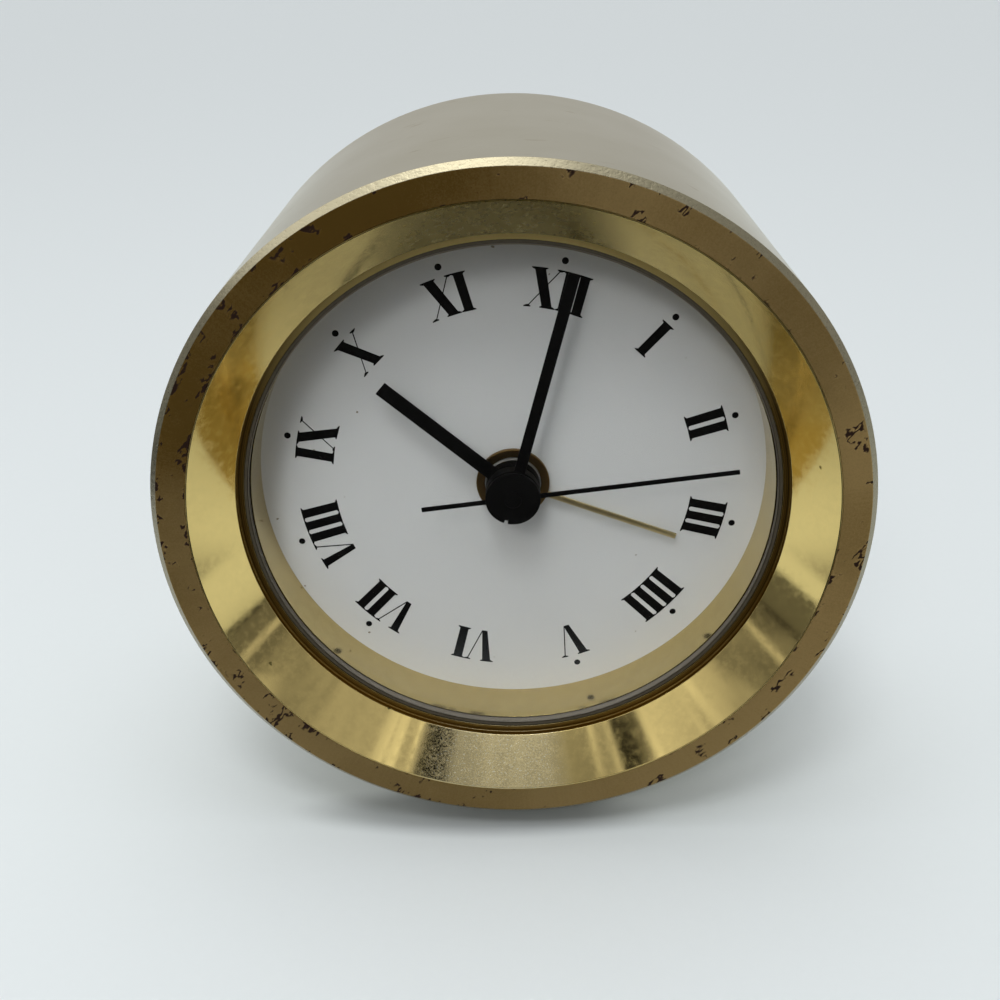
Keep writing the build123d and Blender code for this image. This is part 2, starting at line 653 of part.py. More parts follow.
def make_setting():
    setting_phase = meshing_phase(MINUTE_TEETH, 0, radians(SETTING_DIRECTION), SETTING_TEETH)
    time_stem = stem(setting_axis)
    time_stem += pinion(SETTING_TEETH, motion_module, setting_phase, motion_layer, setting_axis)
    pieces["time_set_stem"] = time_stem
    pieces["time_set_knob"] = knob(setting_axis)

    alarm_phase = meshing_phase(ALARM_TEETH, 0, radians(ALARM_STEM_DIRECTION), ALARM_PINION_TEETH)
    alarm_stem = stem(alarm_axis)
    alarm_stem += pinion(ALARM_PINION_TEETH, alarm_module, alarm_phase, alarm_layer, alarm_axis)
    pieces["alarm_set_stem"] = alarm_stem
    pieces["alarm_set_knob"] = knob(alarm_axis)


# Step motor: stator, core and coil

def make_motor():
    front = third_layer
    back = front + STATOR_THICKNESS
    arm_x = (STATOR_WIDTH - STATOR_ARM) / 2
    arm_height = coil_height + CORE_HEIGHT / 2 - rotor_axis[1]
    outline = Pos(0, rotor_axis[1]) * Rectangle(STATOR_WIDTH, STATOR_BAR)
    for place_x in (-arm_x, arm_x):
        arm = Rectangle(STATOR_ARM, arm_height, align=(Align.CENTER, Align.MIN))
        outline += Pos(place_x, rotor_axis[1]) * arm
    at_rotor = Pos(rotor_axis[0], rotor_axis[1])
    outline += at_rotor * Circle(stator_rim)
    outline -= at_rotor * Circle(stator_hole)
    for edge in (-stator_rim, stator_rim):
        outline -= at_rotor * Pos(0, edge) * Rectangle(STATOR_NOTCH, STATOR_RING)
    pieces["stator"] = slab(outline, front, back)

    core_back = back + STATOR_THICKNESS
    pieces["coil_core"] = block(STATOR_WIDTH, CORE_HEIGHT, back, core_back, (0, coil_height))
    spool = Pos(0, coil_height, -(back + core_back) / 2) * Rot(0, 90, 0) * Cylinder(COIL_RADIUS, coil_length)
    passage = block(STATOR_WIDTH, CORE_HEIGHT + 2 * SNUG, back - SNUG, core_back + SNUG, (0, coil_height))
    pieces["coil"] = spool - passage


# Circuit board, its parts, the sounder and the alarm contact

def make_circuit():
    pieces["circuit_board"] = block(BOARD_WIDTH, BOARD_HEIGHT, rear_back, board_back, board_place)
    quartz_offset = placed(QUARTZ_SHARES, BOARD_HEIGHT)
    quartz_x = board_place[0] + quartz_offset[0]
    quartz_y = board_place[1] + quartz_offset[1]
    can = Rot(0, 90, 0) * Cylinder(QUARTZ_RADIUS, QUARTZ_LENGTH)
    pieces["quartz_can"] = Pos(quartz_x, quartz_y, -board_back - QUARTZ_RADIUS - SNUG) * can
    chip_offset = placed(CHIP_SHARES, BOARD_HEIGHT)
    chip_place = (board_place[0] + chip_offset[0], board_place[1] + chip_offset[1])
    pieces["circuit_chip"] = rod(CHIP_RADIUS, board_back, board_back + CHIP_HEIGHT, chip_place)
    pieces["sounder"] = rod(SOUNDER_RADIUS, cover_front - SOUNDER_HEIGHT, cover_front, sounder_place)


def make_alarm_contact():
    tip_depth = hour_layer + WHEEL_THICKNESS + END_SHAKE
    root_x = LEAF_START + LEAF_REACH + LEAF_FOOT
    bend_x = LEAF_START + LEAF_REACH
    profile = Polygon(
        (root_x, -middle_front),
        (bend_x, -middle_front),
        (LEAF_START, -tip_depth - LEAF_THICKNESS),
        (LEAF_START, -tip_depth),
        (bend_x, -middle_front + LEAF_THICKNESS),
        (root_x, -middle_front + LEAF_THICKNESS),
        align=None,
    )
    leaf = extrude(Plane.XZ * profile, amount=LEAF_WIDTH / 2, both=True)
    pieces["alarm_contact_spring"] = Pos(0, LEAF_HEIGHT, 0) * leaf


# Battery with its contacts

def make_battery():
    can = Cylinder(BATTERY_RADIUS, BATTERY_LENGTH, align=(Align.CENTER, Align.CENTER, Align.MIN))
    nub = Cylinder(BATTERY_NUB_RADIUS, BATTERY_NUB_LENGTH, align=(Align.CENTER, Align.CENTER, Align.MIN))
    cell = can + Pos(0, 0, BATTERY_LENGTH) * nub
    start = -battery_whole / 2
    pieces["battery"] = Pos(start, battery_height, -battery_depth) * Rot(0, 90, 0) * cell

    for name, side in (("positive", 1), ("negative", -1)):
        wall = side * trough_half
        face = wall - side * CONTACT_THICKNESS
        bow = face - side * CONTACT_BOW
        half = CONTACT_WIDTH / 2
        foot = half - CONTACT_BOW
        upper = ((bow, CONTACT_BOW), (face, foot), (face, half), (wall, half))
        lower = [(place_x, -place_y) for place_x, place_y in reversed(upper)]
        profile = Polygon(*upper, *lower, align=None)
        pieces[f"battery_contact_{name}"] = Pos(0, battery_height, 0) * slab(
            profile, battery_depth - half, battery_depth + half
        )


# Rear cover with the battery trough, its door, screws and the alarm switch

def window_sketch(margin):
    width = 2 * (trough_half + margin)
    height = trough_height + 2 * margin
    return Pos(0, battery_height) * Rectangle(width, height)


def make_rear_cover():
    cover = rod(housing_radius, cover_front, cover_back)
    cover += slab(window_sketch(TROUGH_WALL), trough_front - TROUGH_WALL, cover_front)
    cover -= slab(window_sketch(0), trough_front, cover_back + CUT_OVERRUN)
    cover -= slab(window_sketch(DOOR_LEDGE), cover_back - DOOR_THICKNESS, cover_back + CUT_OVERRUN)
    holes = [(place, SCREW_RADIUS + SNUG) for place in screw_places]
    holes += [(axis, STEM_RADIUS + RUN_CLEARANCE) for axis in (setting_axis, alarm_axis)]
    for hole in range(SOUND_HOLES):
        holes.append((toward(sounder_place, SOUND_HOLE_CIRCLE, hole * 360 / SOUND_HOLES), SOUND_HOLE_RADIUS))
    cover = drilled(cover, cover_front, cover_back, holes)
    slot_width = SWITCH_NUB_WIDTH + SWITCH_TRAVEL + 2 * SLIDE_CLEARANCE
    slot_height = SWITCH_NUB_HEIGHT + 2 * SLIDE_CLEARANCE
    slot_place = (switch_place[0] + SWITCH_TRAVEL / 2, switch_place[1])
    cover -= block(slot_width, slot_height, cover_front - CUT_OVERRUN, cover_back + CUT_OVERRUN, slot_place)
    pieces["rear_cover"] = cover
    pieces["rear_cover_screws"] = Compound(
        [
            screw(SCREW_RADIUS, SCREW_LENGTH, SCREW_HEAD_RADIUS, SCREW_HEAD_HEIGHT, cover_back, place)
            for place in screw_places
        ]
    )


def make_door():
    door = slab(window_sketch(DOOR_LEDGE - SLIDE_CLEARANCE), cover_back - DOOR_THICKNESS, cover_back)
    for rib in range(DOOR_RIBS):
        rib_y = battery_height + (rib - (DOOR_RIBS - 1) / 2) * DOOR_RIB_PITCH
        door += block(DOOR_RIB_LENGTH, DOOR_RIB_WIDTH, cover_back, cover_back + DOOR_RIB_HEIGHT, (0, rib_y))
    pieces["battery_door"] = door


def make_switch():
    body_back = cover_front - SLIDE_CLEARANCE
    body = block(SWITCH_WIDTH, SWITCH_HEIGHT, board_back + END_SHAKE, body_back, switch_place)
    nub = block(SWITCH_NUB_WIDTH, SWITCH_NUB_HEIGHT, body_back, cover_back + SWITCH_NUB_RISE, switch_place)
    pieces["alarm_switch"] = body + nub


make_case()
make_feet()
make_bezel()
make_glass()
make_dial()
make_hands()
make_housing()
make_retaining_ring()
make_plates()
make_train()
make_motion_work()
make_setting()
make_motor()
make_circuit()
make_alarm_contact()
make_battery()
make_rear_cover()
make_door()
make_switch()

os.makedirs("parts", exist_ok=True)
for name, solid in pieces.items():
    export_step(clock_frame * solid, f"parts/{name}.step")
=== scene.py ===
import functools
import math
from collections import namedtuple

import bmesh
import bpy
from bpy.props import FloatProperty, FloatVectorProperty, IntProperty, PointerProperty
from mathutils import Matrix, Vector
from mathutils.geometry import delaunay_2d_cdt


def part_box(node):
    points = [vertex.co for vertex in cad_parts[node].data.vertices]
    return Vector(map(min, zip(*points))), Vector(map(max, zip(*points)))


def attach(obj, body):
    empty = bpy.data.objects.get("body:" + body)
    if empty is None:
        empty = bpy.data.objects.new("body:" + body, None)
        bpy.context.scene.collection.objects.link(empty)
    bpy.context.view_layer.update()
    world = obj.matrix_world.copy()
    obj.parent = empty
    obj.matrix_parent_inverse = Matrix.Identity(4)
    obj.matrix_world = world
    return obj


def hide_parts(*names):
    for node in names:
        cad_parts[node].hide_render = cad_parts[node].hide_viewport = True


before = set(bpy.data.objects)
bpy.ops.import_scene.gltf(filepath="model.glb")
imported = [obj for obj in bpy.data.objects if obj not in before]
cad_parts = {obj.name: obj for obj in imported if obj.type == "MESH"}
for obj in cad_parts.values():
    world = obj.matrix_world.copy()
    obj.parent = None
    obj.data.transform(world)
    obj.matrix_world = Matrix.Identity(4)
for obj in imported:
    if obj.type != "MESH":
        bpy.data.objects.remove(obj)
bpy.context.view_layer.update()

bl_info = {
    "name": "Brass Desk Clock",
    "version": (1, 0, 0),
    "blender": (4, 5, 0),
    "location": "3D View > Sidebar > Clock",
    "description": "Builds the looks of a turned brass desk clock round its frame",
    "category": "Object",
}

# Lengths are metres. Depths are counted back from the front face, and heights from the hand axis.
MM = 0.001
FULL_TURN = 2 * math.pi
CASE_LOW, CASE_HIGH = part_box("case_body")
FRONT = CASE_LOW.y
AXIS_HEIGHT = (CASE_LOW.z + CASE_HIGH.z) / 2

Ring = namedtuple("Ring", "inner outer front back")
Blade = namedtuple("Blade", "angle length tail width front back")
Lamp = namedtuple("Lamp", "name place width tint")


# Sizes and colours that a user would change

def length(name, description, millimetres):
    """A length property, given in millimetres."""
    size = millimetres * MM
    return FloatProperty(name=name, description=description, default=size, min=0.0, unit="LENGTH")


def angle(name, description, degrees):
    """An angle property, given in degrees."""
    turn = math.radians(degrees)
    return FloatProperty(name=name, description=description, default=turn, subtype="ANGLE")


def colour(name, description, *light):
    """A colour property, in linear light."""
    return FloatVectorProperty(
        name=name, description=description, default=light, size=3, min=0.0, max=1.0, subtype="COLOR"
    )


class ClockSizes(bpy.types.PropertyGroup):
    """Sizes of the details that the frame leaves open."""

    steps: IntProperty(name="Steps round", description="Flat steps round a turned piece", default=256, min=32)
    rounding: length("Edge rounding", "Radius of the worn edges of the brass", 0.06)
    front_chamfer: length("Front chamfer", "Chamfer between the face and the side of the case", 0.7)
    rear_chamfer: length("Rear chamfer", "Chamfer at the rear of the case", 0.4)
    land: length("Land", "Width of the flat land between the cone and the glass", 0.75)
    land_step: length("Land step", "Step from the cone down to the land", 0.7)
    bezel_edge: length("Bezel edge", "Flat edge of the bezel beside the face ring", 0.12)
    bezel_seat: length("Bezel seat", "Depth of the seat that the bezel is pressed in", 5.0)
    fit: length("Fit", "Gap of a press fit", 0.04)
    glass_bevel: length("Glass bevel", "Ground bevel round the glass", 0.12)
    print_rise: length("Print rise", "Thickness of the ink on the dial", 0.02)
    print_turn: angle("Print turn", "How far the dial has slipped round, clockwise", 11.88)
    numeral_foot: length("Numeral foot", "Radius at the feet of the numerals", 20.42)
    numeral_height: length("Numeral height", "Height of the numerals", 4.38)
    dot_circle: length("Dot circle", "Radius of the circle of hour dots", 25.87)
    dot_radius: length("Dot radius", "Radius of an hour dot", 0.37)


class ClockFinish(bpy.types.PropertyGroup):
    """Colours of the finishes."""

    face_light: colour("Face, light", "Dull brass of the face ring", 0.54, 0.37, 0.15)
    face_dark: colour("Face, dark", "Browned brass of the face ring", 0.235, 0.135, 0.028)
    spot: colour("Corrosion", "Spots where the lacquer has gone", 0.022, 0.010, 0.006)
    brass: colour("Polished brass", "Cone of the bezel", 0.80, 0.618, 0.235)
    # Painted dark reflection on the top of the cone; also a faint mottle on the satin side of the case
    tarnish_and_dark_reflection: colour("Tarnish", "Browned top of the cone", 0.14, 0.103, 0.022)
    stain: colour("Stain", "Small stains on the polished brass", 0.20, 0.16, 0.05)
    # Painted highlight: near-white grains and a paler worn bottom on the cone
    glint: colour("Glints", "Bright grains in the worn bottom of the cone", 1.0, 0.95, 0.72)
    chamfer: colour("Chamfer", "Bright chamfers of the case", 0.64, 0.57, 0.38)
    side: colour("Satin side", "Satin top of the case", 0.385, 0.345, 0.228)
    # Painted light on the flanks of the case
    painted_light_flank: colour("Flanks", "Paler flanks of the case", 0.64, 0.615, 0.49)
    gold: colour("Dial wall", "Gold wall round the dial", 0.65, 0.51, 0.22)
    dial: colour("Dial", "Paint of the dial", 0.70, 0.715, 0.715)
    ink: colour("Ink", "Numerals and dots", 0.002, 0.002, 0.002)
    hand: colour("Hands", "Hour, minute and second hands", 0.002, 0.002, 0.002)
    alarm: colour("Alarm hand", "Blade of the alarm hand", 0.76, 0.62, 0.32)
    # Painted shade on the boss, which lies in shadow behind the other hands
    alarm_boss_painted_shade: colour("Alarm boss", "Darkened boss of the alarm hand", 0.24, 0.145, 0.05)
    rubber: colour("Rubber", "Feet and retaining ring", 0.018, 0.018, 0.018)
    moulding: colour("Moulding", "Black plastic of the insert", 0.022, 0.022, 0.023)
    floor: colour("Floor", "Paper under the clock", 0.765, 0.805, 0.81)
    # Painted shade: dark paper that only reflections and bounced light see
    painted_shade_paper: colour("Table", "Dark table beyond the paper", 0.02, 0.018, 0.016)


class ClockStage(bpy.types.PropertyGroup):
    """Camera and light."""

    place: FloatVectorProperty(
        name="Camera place", description="Where the camera stands", default=(-0.00048, -0.13466, 0.0983),
        subtype="TRANSLATION", unit="LENGTH",
    )
    turn: FloatVectorProperty(
        name="Camera turn", description="How the camera is turned", subtype="EULER",
        default=(math.radians(64.085), math.radians(-0.107), math.radians(0.508)),
    )
    lens: FloatProperty(name="Lens", description="Focal length for a sensor 36 mm wide", default=43.457)
    sky: FloatProperty(name="Sky", description="Strength of the light from above", default=0.72, min=0.0)
    zenith: FloatProperty(name="Zenith", description="Extra light from straight above", default=1.65, min=0.0)
    key: FloatProperty(name="Key", description="Power of the key lamp", default=0.5, min=0.0, unit="POWER")
    top: FloatProperty(name="Top", description="Power of the top lamp", default=0.46, min=0.0, unit="POWER")
    paper_near: length("Paper, near", "Pale paper in front of the clock", 12.0)
    paper_fade: length("Paper fade", "Width of the soft near edge of the paper", 26.0)
    paper_gap: length("Paper gap", "Half width of the dark strip in front of the clock", 80.0)
    paper_left: length("Paper, left", "Pale paper to the left of the clock", 140.0)


# Measures taken from the frame

def node_points(node):
    """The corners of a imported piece: right of the hand axis, behind the front face, above the axis."""
    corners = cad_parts[node].data.vertices
    return [Vector((corner.co.x, corner.co.y - FRONT, corner.co.z - AXIS_HEIGHT)) for corner in corners]


def ring_of(node):
    """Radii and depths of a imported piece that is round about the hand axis."""
    points = node_points(node)
    radii = [math.hypot(point.x, point.z) for point in points]
    depths = [point.y for point in points]
    return Ring(min(radii), max(radii), min(depths), max(depths))


def blade_of(node, tip_share=0.98):
    """The blade of a packed hand, read from the corners at its tip."""
    points = node_points(node)
    reach = max(math.hypot(point.x, point.z) for point in points)
    tip = [point for point in points if math.hypot(point.x, point.z) > tip_share * reach]
    middle = sum(tip, Vector()) / len(tip)
    turn = math.atan2(middle.x, middle.z)
    along = [point.x * math.sin(turn) + point.z * math.cos(turn) for point in points]
    across = [point.x * math.cos(turn) - point.z * math.sin(turn) for point in tip]
    depths = [point.y for point in tip]
    return Blade(turn, max(along), -min(along), max(across) - min(across), min(depths), max(depths))


# Shader formulas

def both_ways(operation):
    """An operator of shades and its reflected form, through one kind of Math node."""

    def plain(self, value):
        return self.maths(operation, self, value)

    def reflected(self, value):
        return self.maths(operation, value, self)

    return plain, reflected


class Shade:
    """A socket of a shader tree. An operator on shades adds the Math node that works it out."""

    def __init__(self, tree, socket=None):
        self.tree = tree
        self.socket = socket

    def node(self, kind, settings=None, sockets=None, output=0):
        """Adds a node, makes its settings, then sets or links its sockets, and gives one of its outputs."""
        made = self.tree.nodes.new("ShaderNode" + kind)
        for name, value in (settings or {}).items():
            setattr(made, name, value)
        for key, value in (sockets or {}).items():
            if isinstance(value, Shade):
                self.tree.links.new(value.socket, made.inputs[key])
            else:
                made.inputs[key].default_value = value
        return Shade(self.tree, made.outputs[output] if made.outputs else None)

    def maths(self, operation, first, second=0.0):
        """A number worked out from one or two others."""
        return self.node("Math", {"operation": operation}, {0: first, 1: second})

    __add__, __radd__ = both_ways("ADD")
    __sub__, __rsub__ = both_ways("SUBTRACT")
    __mul__, __rmul__ = both_ways("MULTIPLY")
    __truediv__, __rtruediv__ = both_ways("DIVIDE")

    def __abs__(self):
        return self.maths("ABSOLUTE", self)

    def vector(self, operation, *values, output="Vector"):
        """A vector or number worked out from this vector and the values given."""
        return self.node("VectorMath", {"operation": operation}, dict(enumerate((self, *values))), output)

    def part(self, axis):
        """One part of this vector."""
        return self.node("SeparateXYZ", None, {0: self}, axis)

    def stretched(self, across, deep, up):
        """This vector, scaled along each axis."""
        return self.vector("MULTIPLY", (across, deep, up))

    def rise(self, low, high):
        """From 0 at one value to 1 at another, with soft ends."""
        return self.node("MapRange", {"interpolation_type": "SMOOTHSTEP"}, {0: self, 1: low, 2: high})

    def band(self, start, full, fade, end):
        """1 between two values, with soft slopes to 0 on both sides."""
        return self.rise(start, full) * (1 - self.rise(fade, end))

    def mix(self, low, high):
        """The colour between two colours that this share gives."""
        return self.node("Mix", {"data_type": "RGBA"}, {0: self, 6: paint(low), 7: paint(high)}, output=2)

    def noise(self, scale, detail=2.0, rough=0.5):
        """Soft noise at this place, with so many waves a metre."""
        values = {"Vector": self, "Scale": scale, "Detail": detail, "Roughness": rough}
        return self.node("TexNoise", None, values)

    def bump(self, depth):
        """A normal from this height, where 1 stands for a real depth."""
        return self.node("Bump", None, {"Height": self, "Distance": depth})


def paint(value):
    """A colour as a socket takes it."""
    return value if isinstance(value, Shade) else (*value[:3], 1.0)


def toned(tint, share):
    """A colour, made darker or lighter."""
    return [share * part for part in tint]


def spoke(place):
    """The way from the hand axis out to a place."""
    return place.vector("SUBTRACT", (0.0, 0.0, AXIS_HEIGHT)).stretched(1.0, 0.0, 1.0)


def radius_of(place):
    """How far a place is from the hand axis."""
    return spoke(place).vector("LENGTH", output="Value")


def direction_of(place):
    """The direction of a place round the hand axis, as a vector of length 1."""
    return spoke(place).vector("NORMALIZE")


def depth_of(place):
    """How far a place is behind the front face."""
    return place.part("Y") - FRONT


def toward(direction, degrees):
    """How far a direction round the axis points to an angle clockwise from the top: 1 at it, -1 opposite."""
    turn = math.radians(degrees)
    return direction.vector("DOT_PRODUCT", (math.sin(turn), 0.0, math.cos(turn)), output="Value")


def face_lines(place, waves, detail):
    """Fine circles round the hand axis, as turning leaves them on a face."""
    return place.node("CombineXYZ", None, {0: radius_of(place)}).noise(waves, detail)


def side_lines(place, waves, detail=2.0):
    """Fine lines round the hand axis, as turning leaves them along a side."""
    return place.stretched(0.0, 1.0, 0.0).noise(waves, detail)


def finish(build):
    """Turns a function that builds a surface from the shaded point into one that makes a material."""

    @functools.wraps(build)
    def make(*values, name=build.__name__):
        material = bpy.data.materials.new(name)
        material.use_nodes = True
        material.node_tree.nodes.clear()
        place = Shade(material.node_tree).node("TexCoord", output="Object")
        surface = build(place, *values)
        surface.node("OutputMaterial", None, {"Surface": surface})
        return material

    return make


def principled(place, **values):
    """A Principled surface. Names are its sockets' names with underscores for spaces."""
    sockets = {name.replace("_", " "): value for name, value in values.items()}
    sockets["Base Color"] = paint(sockets["Base Color"])
    return place.node("BsdfPrincipled", None, sockets)


def blended(share, low, high, rough, depth=0.0, **values):
    """A surface between two colours by a share, which is its height as well where a depth is given."""
    if depth > 0.0:
        values["Normal"] = share.bump(depth)
    return principled(share, Base_Color=share.mix(low, high), Roughness=rough, **values)


# Finishes of the case and the bezel

# Where corrosion gathers on the face: degrees clockwise from the top, its start and full strength, its share
CORRODED = (
    (296.0, 0.80, 0.97, 1.0),
    (228.0, 0.90, 0.99, 0.65),
    (108.0, 0.93, 0.99, 0.6),
    (190.0, 0.97, 0.995, 0.6),
)
SCRATCH_LEAN = math.radians(-40.0)
FRONT_END, REAR_START = 10.0 * MM, 20.0 * MM
MID_CONE = 2.4 * MM


@finish
def face_brass(place, colours, sizes):
    """Dull lacquered brass of the flat rings, gone brown, with corrosion that gathers along its edges, and
    painted shade that darkens the bottom of the face.
    """
    direction = direction_of(place)
    rear = depth_of(place).rise(FRONT_END, REAR_START)
    front = 1 - rear
    patches = place.noise(60.0, 3.0).rise(0.36, 0.62)
    grain = place.noise(6500.0, 2.0, 0.6)
    lines = face_lines(place, 9000.0, 3.0)
    radial = direction.noise(130.0)

    inner = ring_of("bezel").outer
    outer = ring_of("case_body").outer - sizes.front_chamfer
    edge = (radius_of(place) - (inner + outer) / 2) / ((outer - inner) / 2)
    edge = (edge * edge).rise(0.1, 1.0)
    gathered = sum(share * toward(direction, turn).rise(low, high) for turn, low, high, share in CORRODED)
    gathered = (0.07 * edge + 0.09 * gathered) * front - 0.04 * rear
    lean = {"Vector": place, "Angle": SCRATCH_LEAN}
    leaning = place.node("VectorRotate", {"rotation_type": "Y_AXIS"}, lean).stretched(1.0, 1.0, 0.4)
    bend = leaning.noise(1000.0, 2.0, 0.6) - 0.5
    veins = 1 - (bend * bend).rise(0.001, 0.004)
    veins = veins * (place.noise(480.0) + 0.9 * gathered).rise(0.645, 0.69)
    blots = (leaning.noise(800.0, 4.0, 0.62) + gathered).rise(0.73, 0.755)
    spots = 1 - (1 - veins) * (1 - blots)

    clean = 0.80 - 0.82 * front * toward(direction, 318.0).rise(0.52, 0.97)
    clean = clean + 0.3 * (patches - 0.5) + 0.7 * (grain - 0.5) + 0.22 * (radial - 0.5)
    tint = clean.mix(colours.face_dark, colours.face_light)
    # Painted light and shade: the face colour is scaled darker towards the bottom and the upper right, and
    # lighter towards the right.
    painted_light_and_shade = 1.04 + 0.12 * front * toward(direction, 100.0) - 0.56 * toward(direction, 178.0).rise(0.2, 1.0)
    painted_light_and_shade = painted_light_and_shade - 0.2 * front * toward(direction, 50.0).rise(0.90, 0.99)
    tint = tint.node("VectorMath", {"operation": "SCALE"}, {0: tint, "Scale": painted_light_and_shade})
    return principled(
        place,
        Base_Color=spots.mix(tint, colours.spot),
        Metallic=0.95 - 0.85 * spots,
        Roughness=0.52 + 0.16 * (grain - 0.5) + 0.2 * spots,
        Specular_IOR_Level=0.1,
        Normal=(0.6 * grain + 0.5 * lines - 1.5 * spots).bump(0.012 * MM),
    )


@finish
def polished_brass(place, colours):
    """Polished brass of the cone, with a painted dark reflection that turns its top brown, worn and partly
    painted paler at the bottom, hazy, with small stains.
    """
    direction = direction_of(place)
    rubbing = direction.stretched(24.0, 0.0, 24.0).vector("ADD", place.stretched(0.0, 5200.0, 0.0))
    rubbing = rubbing.noise(1.0, 3.0)
    haze = place.noise(1100.0, 3.0, 0.6)
    swell = place.noise(120.0, 1.0)
    stains = place.noise(520.0).rise(0.755, 0.775)
    worn = toward(direction, 184.0).rise(0.955, 0.985)
    speckle = worn * place.noise(4600.0, 3.0, 0.65).rise(0.38, 0.62)
    glints = worn * place.noise(6200.0).rise(0.60, 0.68)
    # Painted dark reflection: the top of the cone is turned dark brown and dulled, and made rougher.
    painted_reflection_top = toward(direction, 357.0) + 8.0 * (depth_of(place) - MID_CONE)
    painted_reflection_top = (painted_reflection_top + 0.02 * (haze - 0.5)).rise(0.90, 0.985)
    painted_reflection_dulled = toward(direction, 10.0).rise(0.25, 0.75) * (1 - painted_reflection_top)
    bright = haze.rise(0.25, 0.85) * (1 - 0.9 * worn) + 0.9 * speckle
    tint = bright.mix(toned(colours.brass, 0.9), colours.brass)
    tint = (0.92 * painted_reflection_top + 0.42 * painted_reflection_dulled).mix(tint, colours.tarnish_and_dark_reflection)
    # Partly wear, partly painted highlight: the worn bottom is turned paler, and its grains near white, for
    # sparkle.
    tint = (0.28 * worn + 0.6 * glints).mix(tint, colours.glint)
    height = (0.12 + worn) * (0.4 * rubbing + 0.4 * haze) + 0.2 * speckle + 0.5 * swell
    return principled(
        place,
        Base_Color=stains.mix(tint, colours.stain),
        Metallic=1.0,
        Roughness=0.06 + 0.07 * haze.rise(0.35, 0.75) + 0.12 * speckle + 0.2 * painted_reflection_top + 0.2 * stains,
        Normal=height.bump(0.006 * MM),
    )


@finish
def dull_land(place, colours):
    """Dull brown land between the cone and the glass, with turning lines, and painted light that makes its
    top part brighter.
    """
    lines = face_lines(place, 6000.0, 2.0)
    turned = lines.rise(0.3, 0.7).mix(toned(colours.face_dark, 0.25), colours.face_dark)
    # Painted light: the land is turned towards bright brass at its top.
    upper = toward(direction_of(place), 0.0).rise(0.3, 1.0)
    rough = 0.35 + 0.1 * lines
    return blended(upper, turned, colours.brass, rough, Metallic=0.95, Normal=lines.bump(0.01 * MM))


@finish
def chamfer_brass(place, colours):
    """Worn brass of the chamfers, with a painted highlight towards the upper left and painted shade
    elsewhere, and small nicks that sparkle.
    """
    nicks = place.noise(2600.0, 3.0, 0.6)
    # Painted highlight and shade: the chamfer keeps its bright colour towards the upper left and is darkened
    # to under half elsewhere.
    bright = toward(direction_of(place), 338.0).rise(0.84, 0.98) + 0.4 * (nicks - 0.5)
    tints = toned(colours.chamfer, 0.45), colours.chamfer
    return blended(bright, *tints, 0.20 + 0.18 * nicks, Metallic=1.0, Normal=nicks.bump(0.05 * MM))


@finish
def satin_brass(place, colours):
    """Satin side of the case, with painted light that makes its flanks paler, turned with fine lines, with
    faint smears.
    """
    lines = side_lines(place, 14000.0, 3.0)
    cloud = place.noise(70.0, 3.0)
    smear = place.stretched(1.0, 4.0, 1.0).noise(190.0, 3.0).rise(0.66, 0.78)
    # Painted light: the flanks of the case are paler than its top.
    tint = toward(direction_of(place), 358.0).rise(0.69, 0.93).mix(colours.painted_light_flank, colours.side)
    tint = (0.06 * cloud.rise(0.3, 0.7)).mix(tint, colours.tarnish_and_dark_reflection)
    rough = 0.27 + 0.10 * cloud + 0.1 * smear
    turned = lines.bump(0.004 * MM)
    return blended(0.35 * smear, tint, colours.face_dark, rough, Metallic=1.0, Normal=turned)


@finish
def bore_brass(place, colours):
    """Bare turned brass inside the case."""
    lines = side_lines(place, 5000.0)
    return blended(lines, colours.face_light, colours.brass, 0.32 + 0.2 * lines, 0.02 * MM, Metallic=1.0)


@finish
def wall_gold(place, colours):
    """Polished gold wall between the glass and the dial."""
    haze = place.noise(700.0, 3.0)
    lines = side_lines(place, 6000.0)
    tints = toned(colours.gold, 0.92), colours.gold
    rough = 0.09 + 0.08 * haze
    return blended(haze.rise(0.2, 0.8), *tints, rough, Metallic=1.0, Normal=lines.bump(0.001 * MM))


# Finishes of the glass, the dial and the hands

@finish
def clear_glass(place):
    """Flat window glass that lets light through to the dial."""
    smudge = place.noise(260.0, 3.0).rise(0.5, 0.8)
    white = (1.0, 1.0, 1.0)
    glass = principled(place, Base_Color=white, Roughness=0.015 * smudge, IOR=1.36, Transmission_Weight=1.0)
    shadow = place.node("LightPath", output="Is Shadow Ray")
    clear = place.node("BsdfTransparent", None, {"Color": paint((0.93, 0.94, 0.93))})
    return place.node("MixShader", None, {0: shadow, 1: glass, 2: clear})


@finish
def ground_glass(place):
    """Ground edge of the glass."""
    grain = place.noise(4000.0)
    tints = (0.15, 0.13, 0.10), (0.21, 0.185, 0.145)
    return blended(grain, *tints, 0.55 + 0.2 * grain, Specular_IOR_Level=0.2)


@finish
def grey_nylon(place):
    """Grey nylon of the ring round the glass."""
    mottle = place.noise(1500.0)
    tints = (0.05, 0.041, 0.027), (0.085, 0.071, 0.048)
    return blended(mottle, *tints, 0.45 + 0.1 * mottle, Specular_IOR_Level=0.2)


@finish
def dial_paint(place, colours):
    """Matt white paint with a faint grain and a few specks."""
    grain = place.noise(3500.0)
    shade = (0.5 * grain + 0.5 * place.noise(80.0)).rise(0.2, 0.8)
    specks = place.noise(900.0, 1.0).rise(0.80, 0.82)
    tint = shade.mix(toned(colours.dial, 0.955), colours.dial)
    return blended(specks, tint, (0.25, 0.22, 0.17), 0.62 + 0.1 * grain, Normal=grain.bump(0.004 * MM))


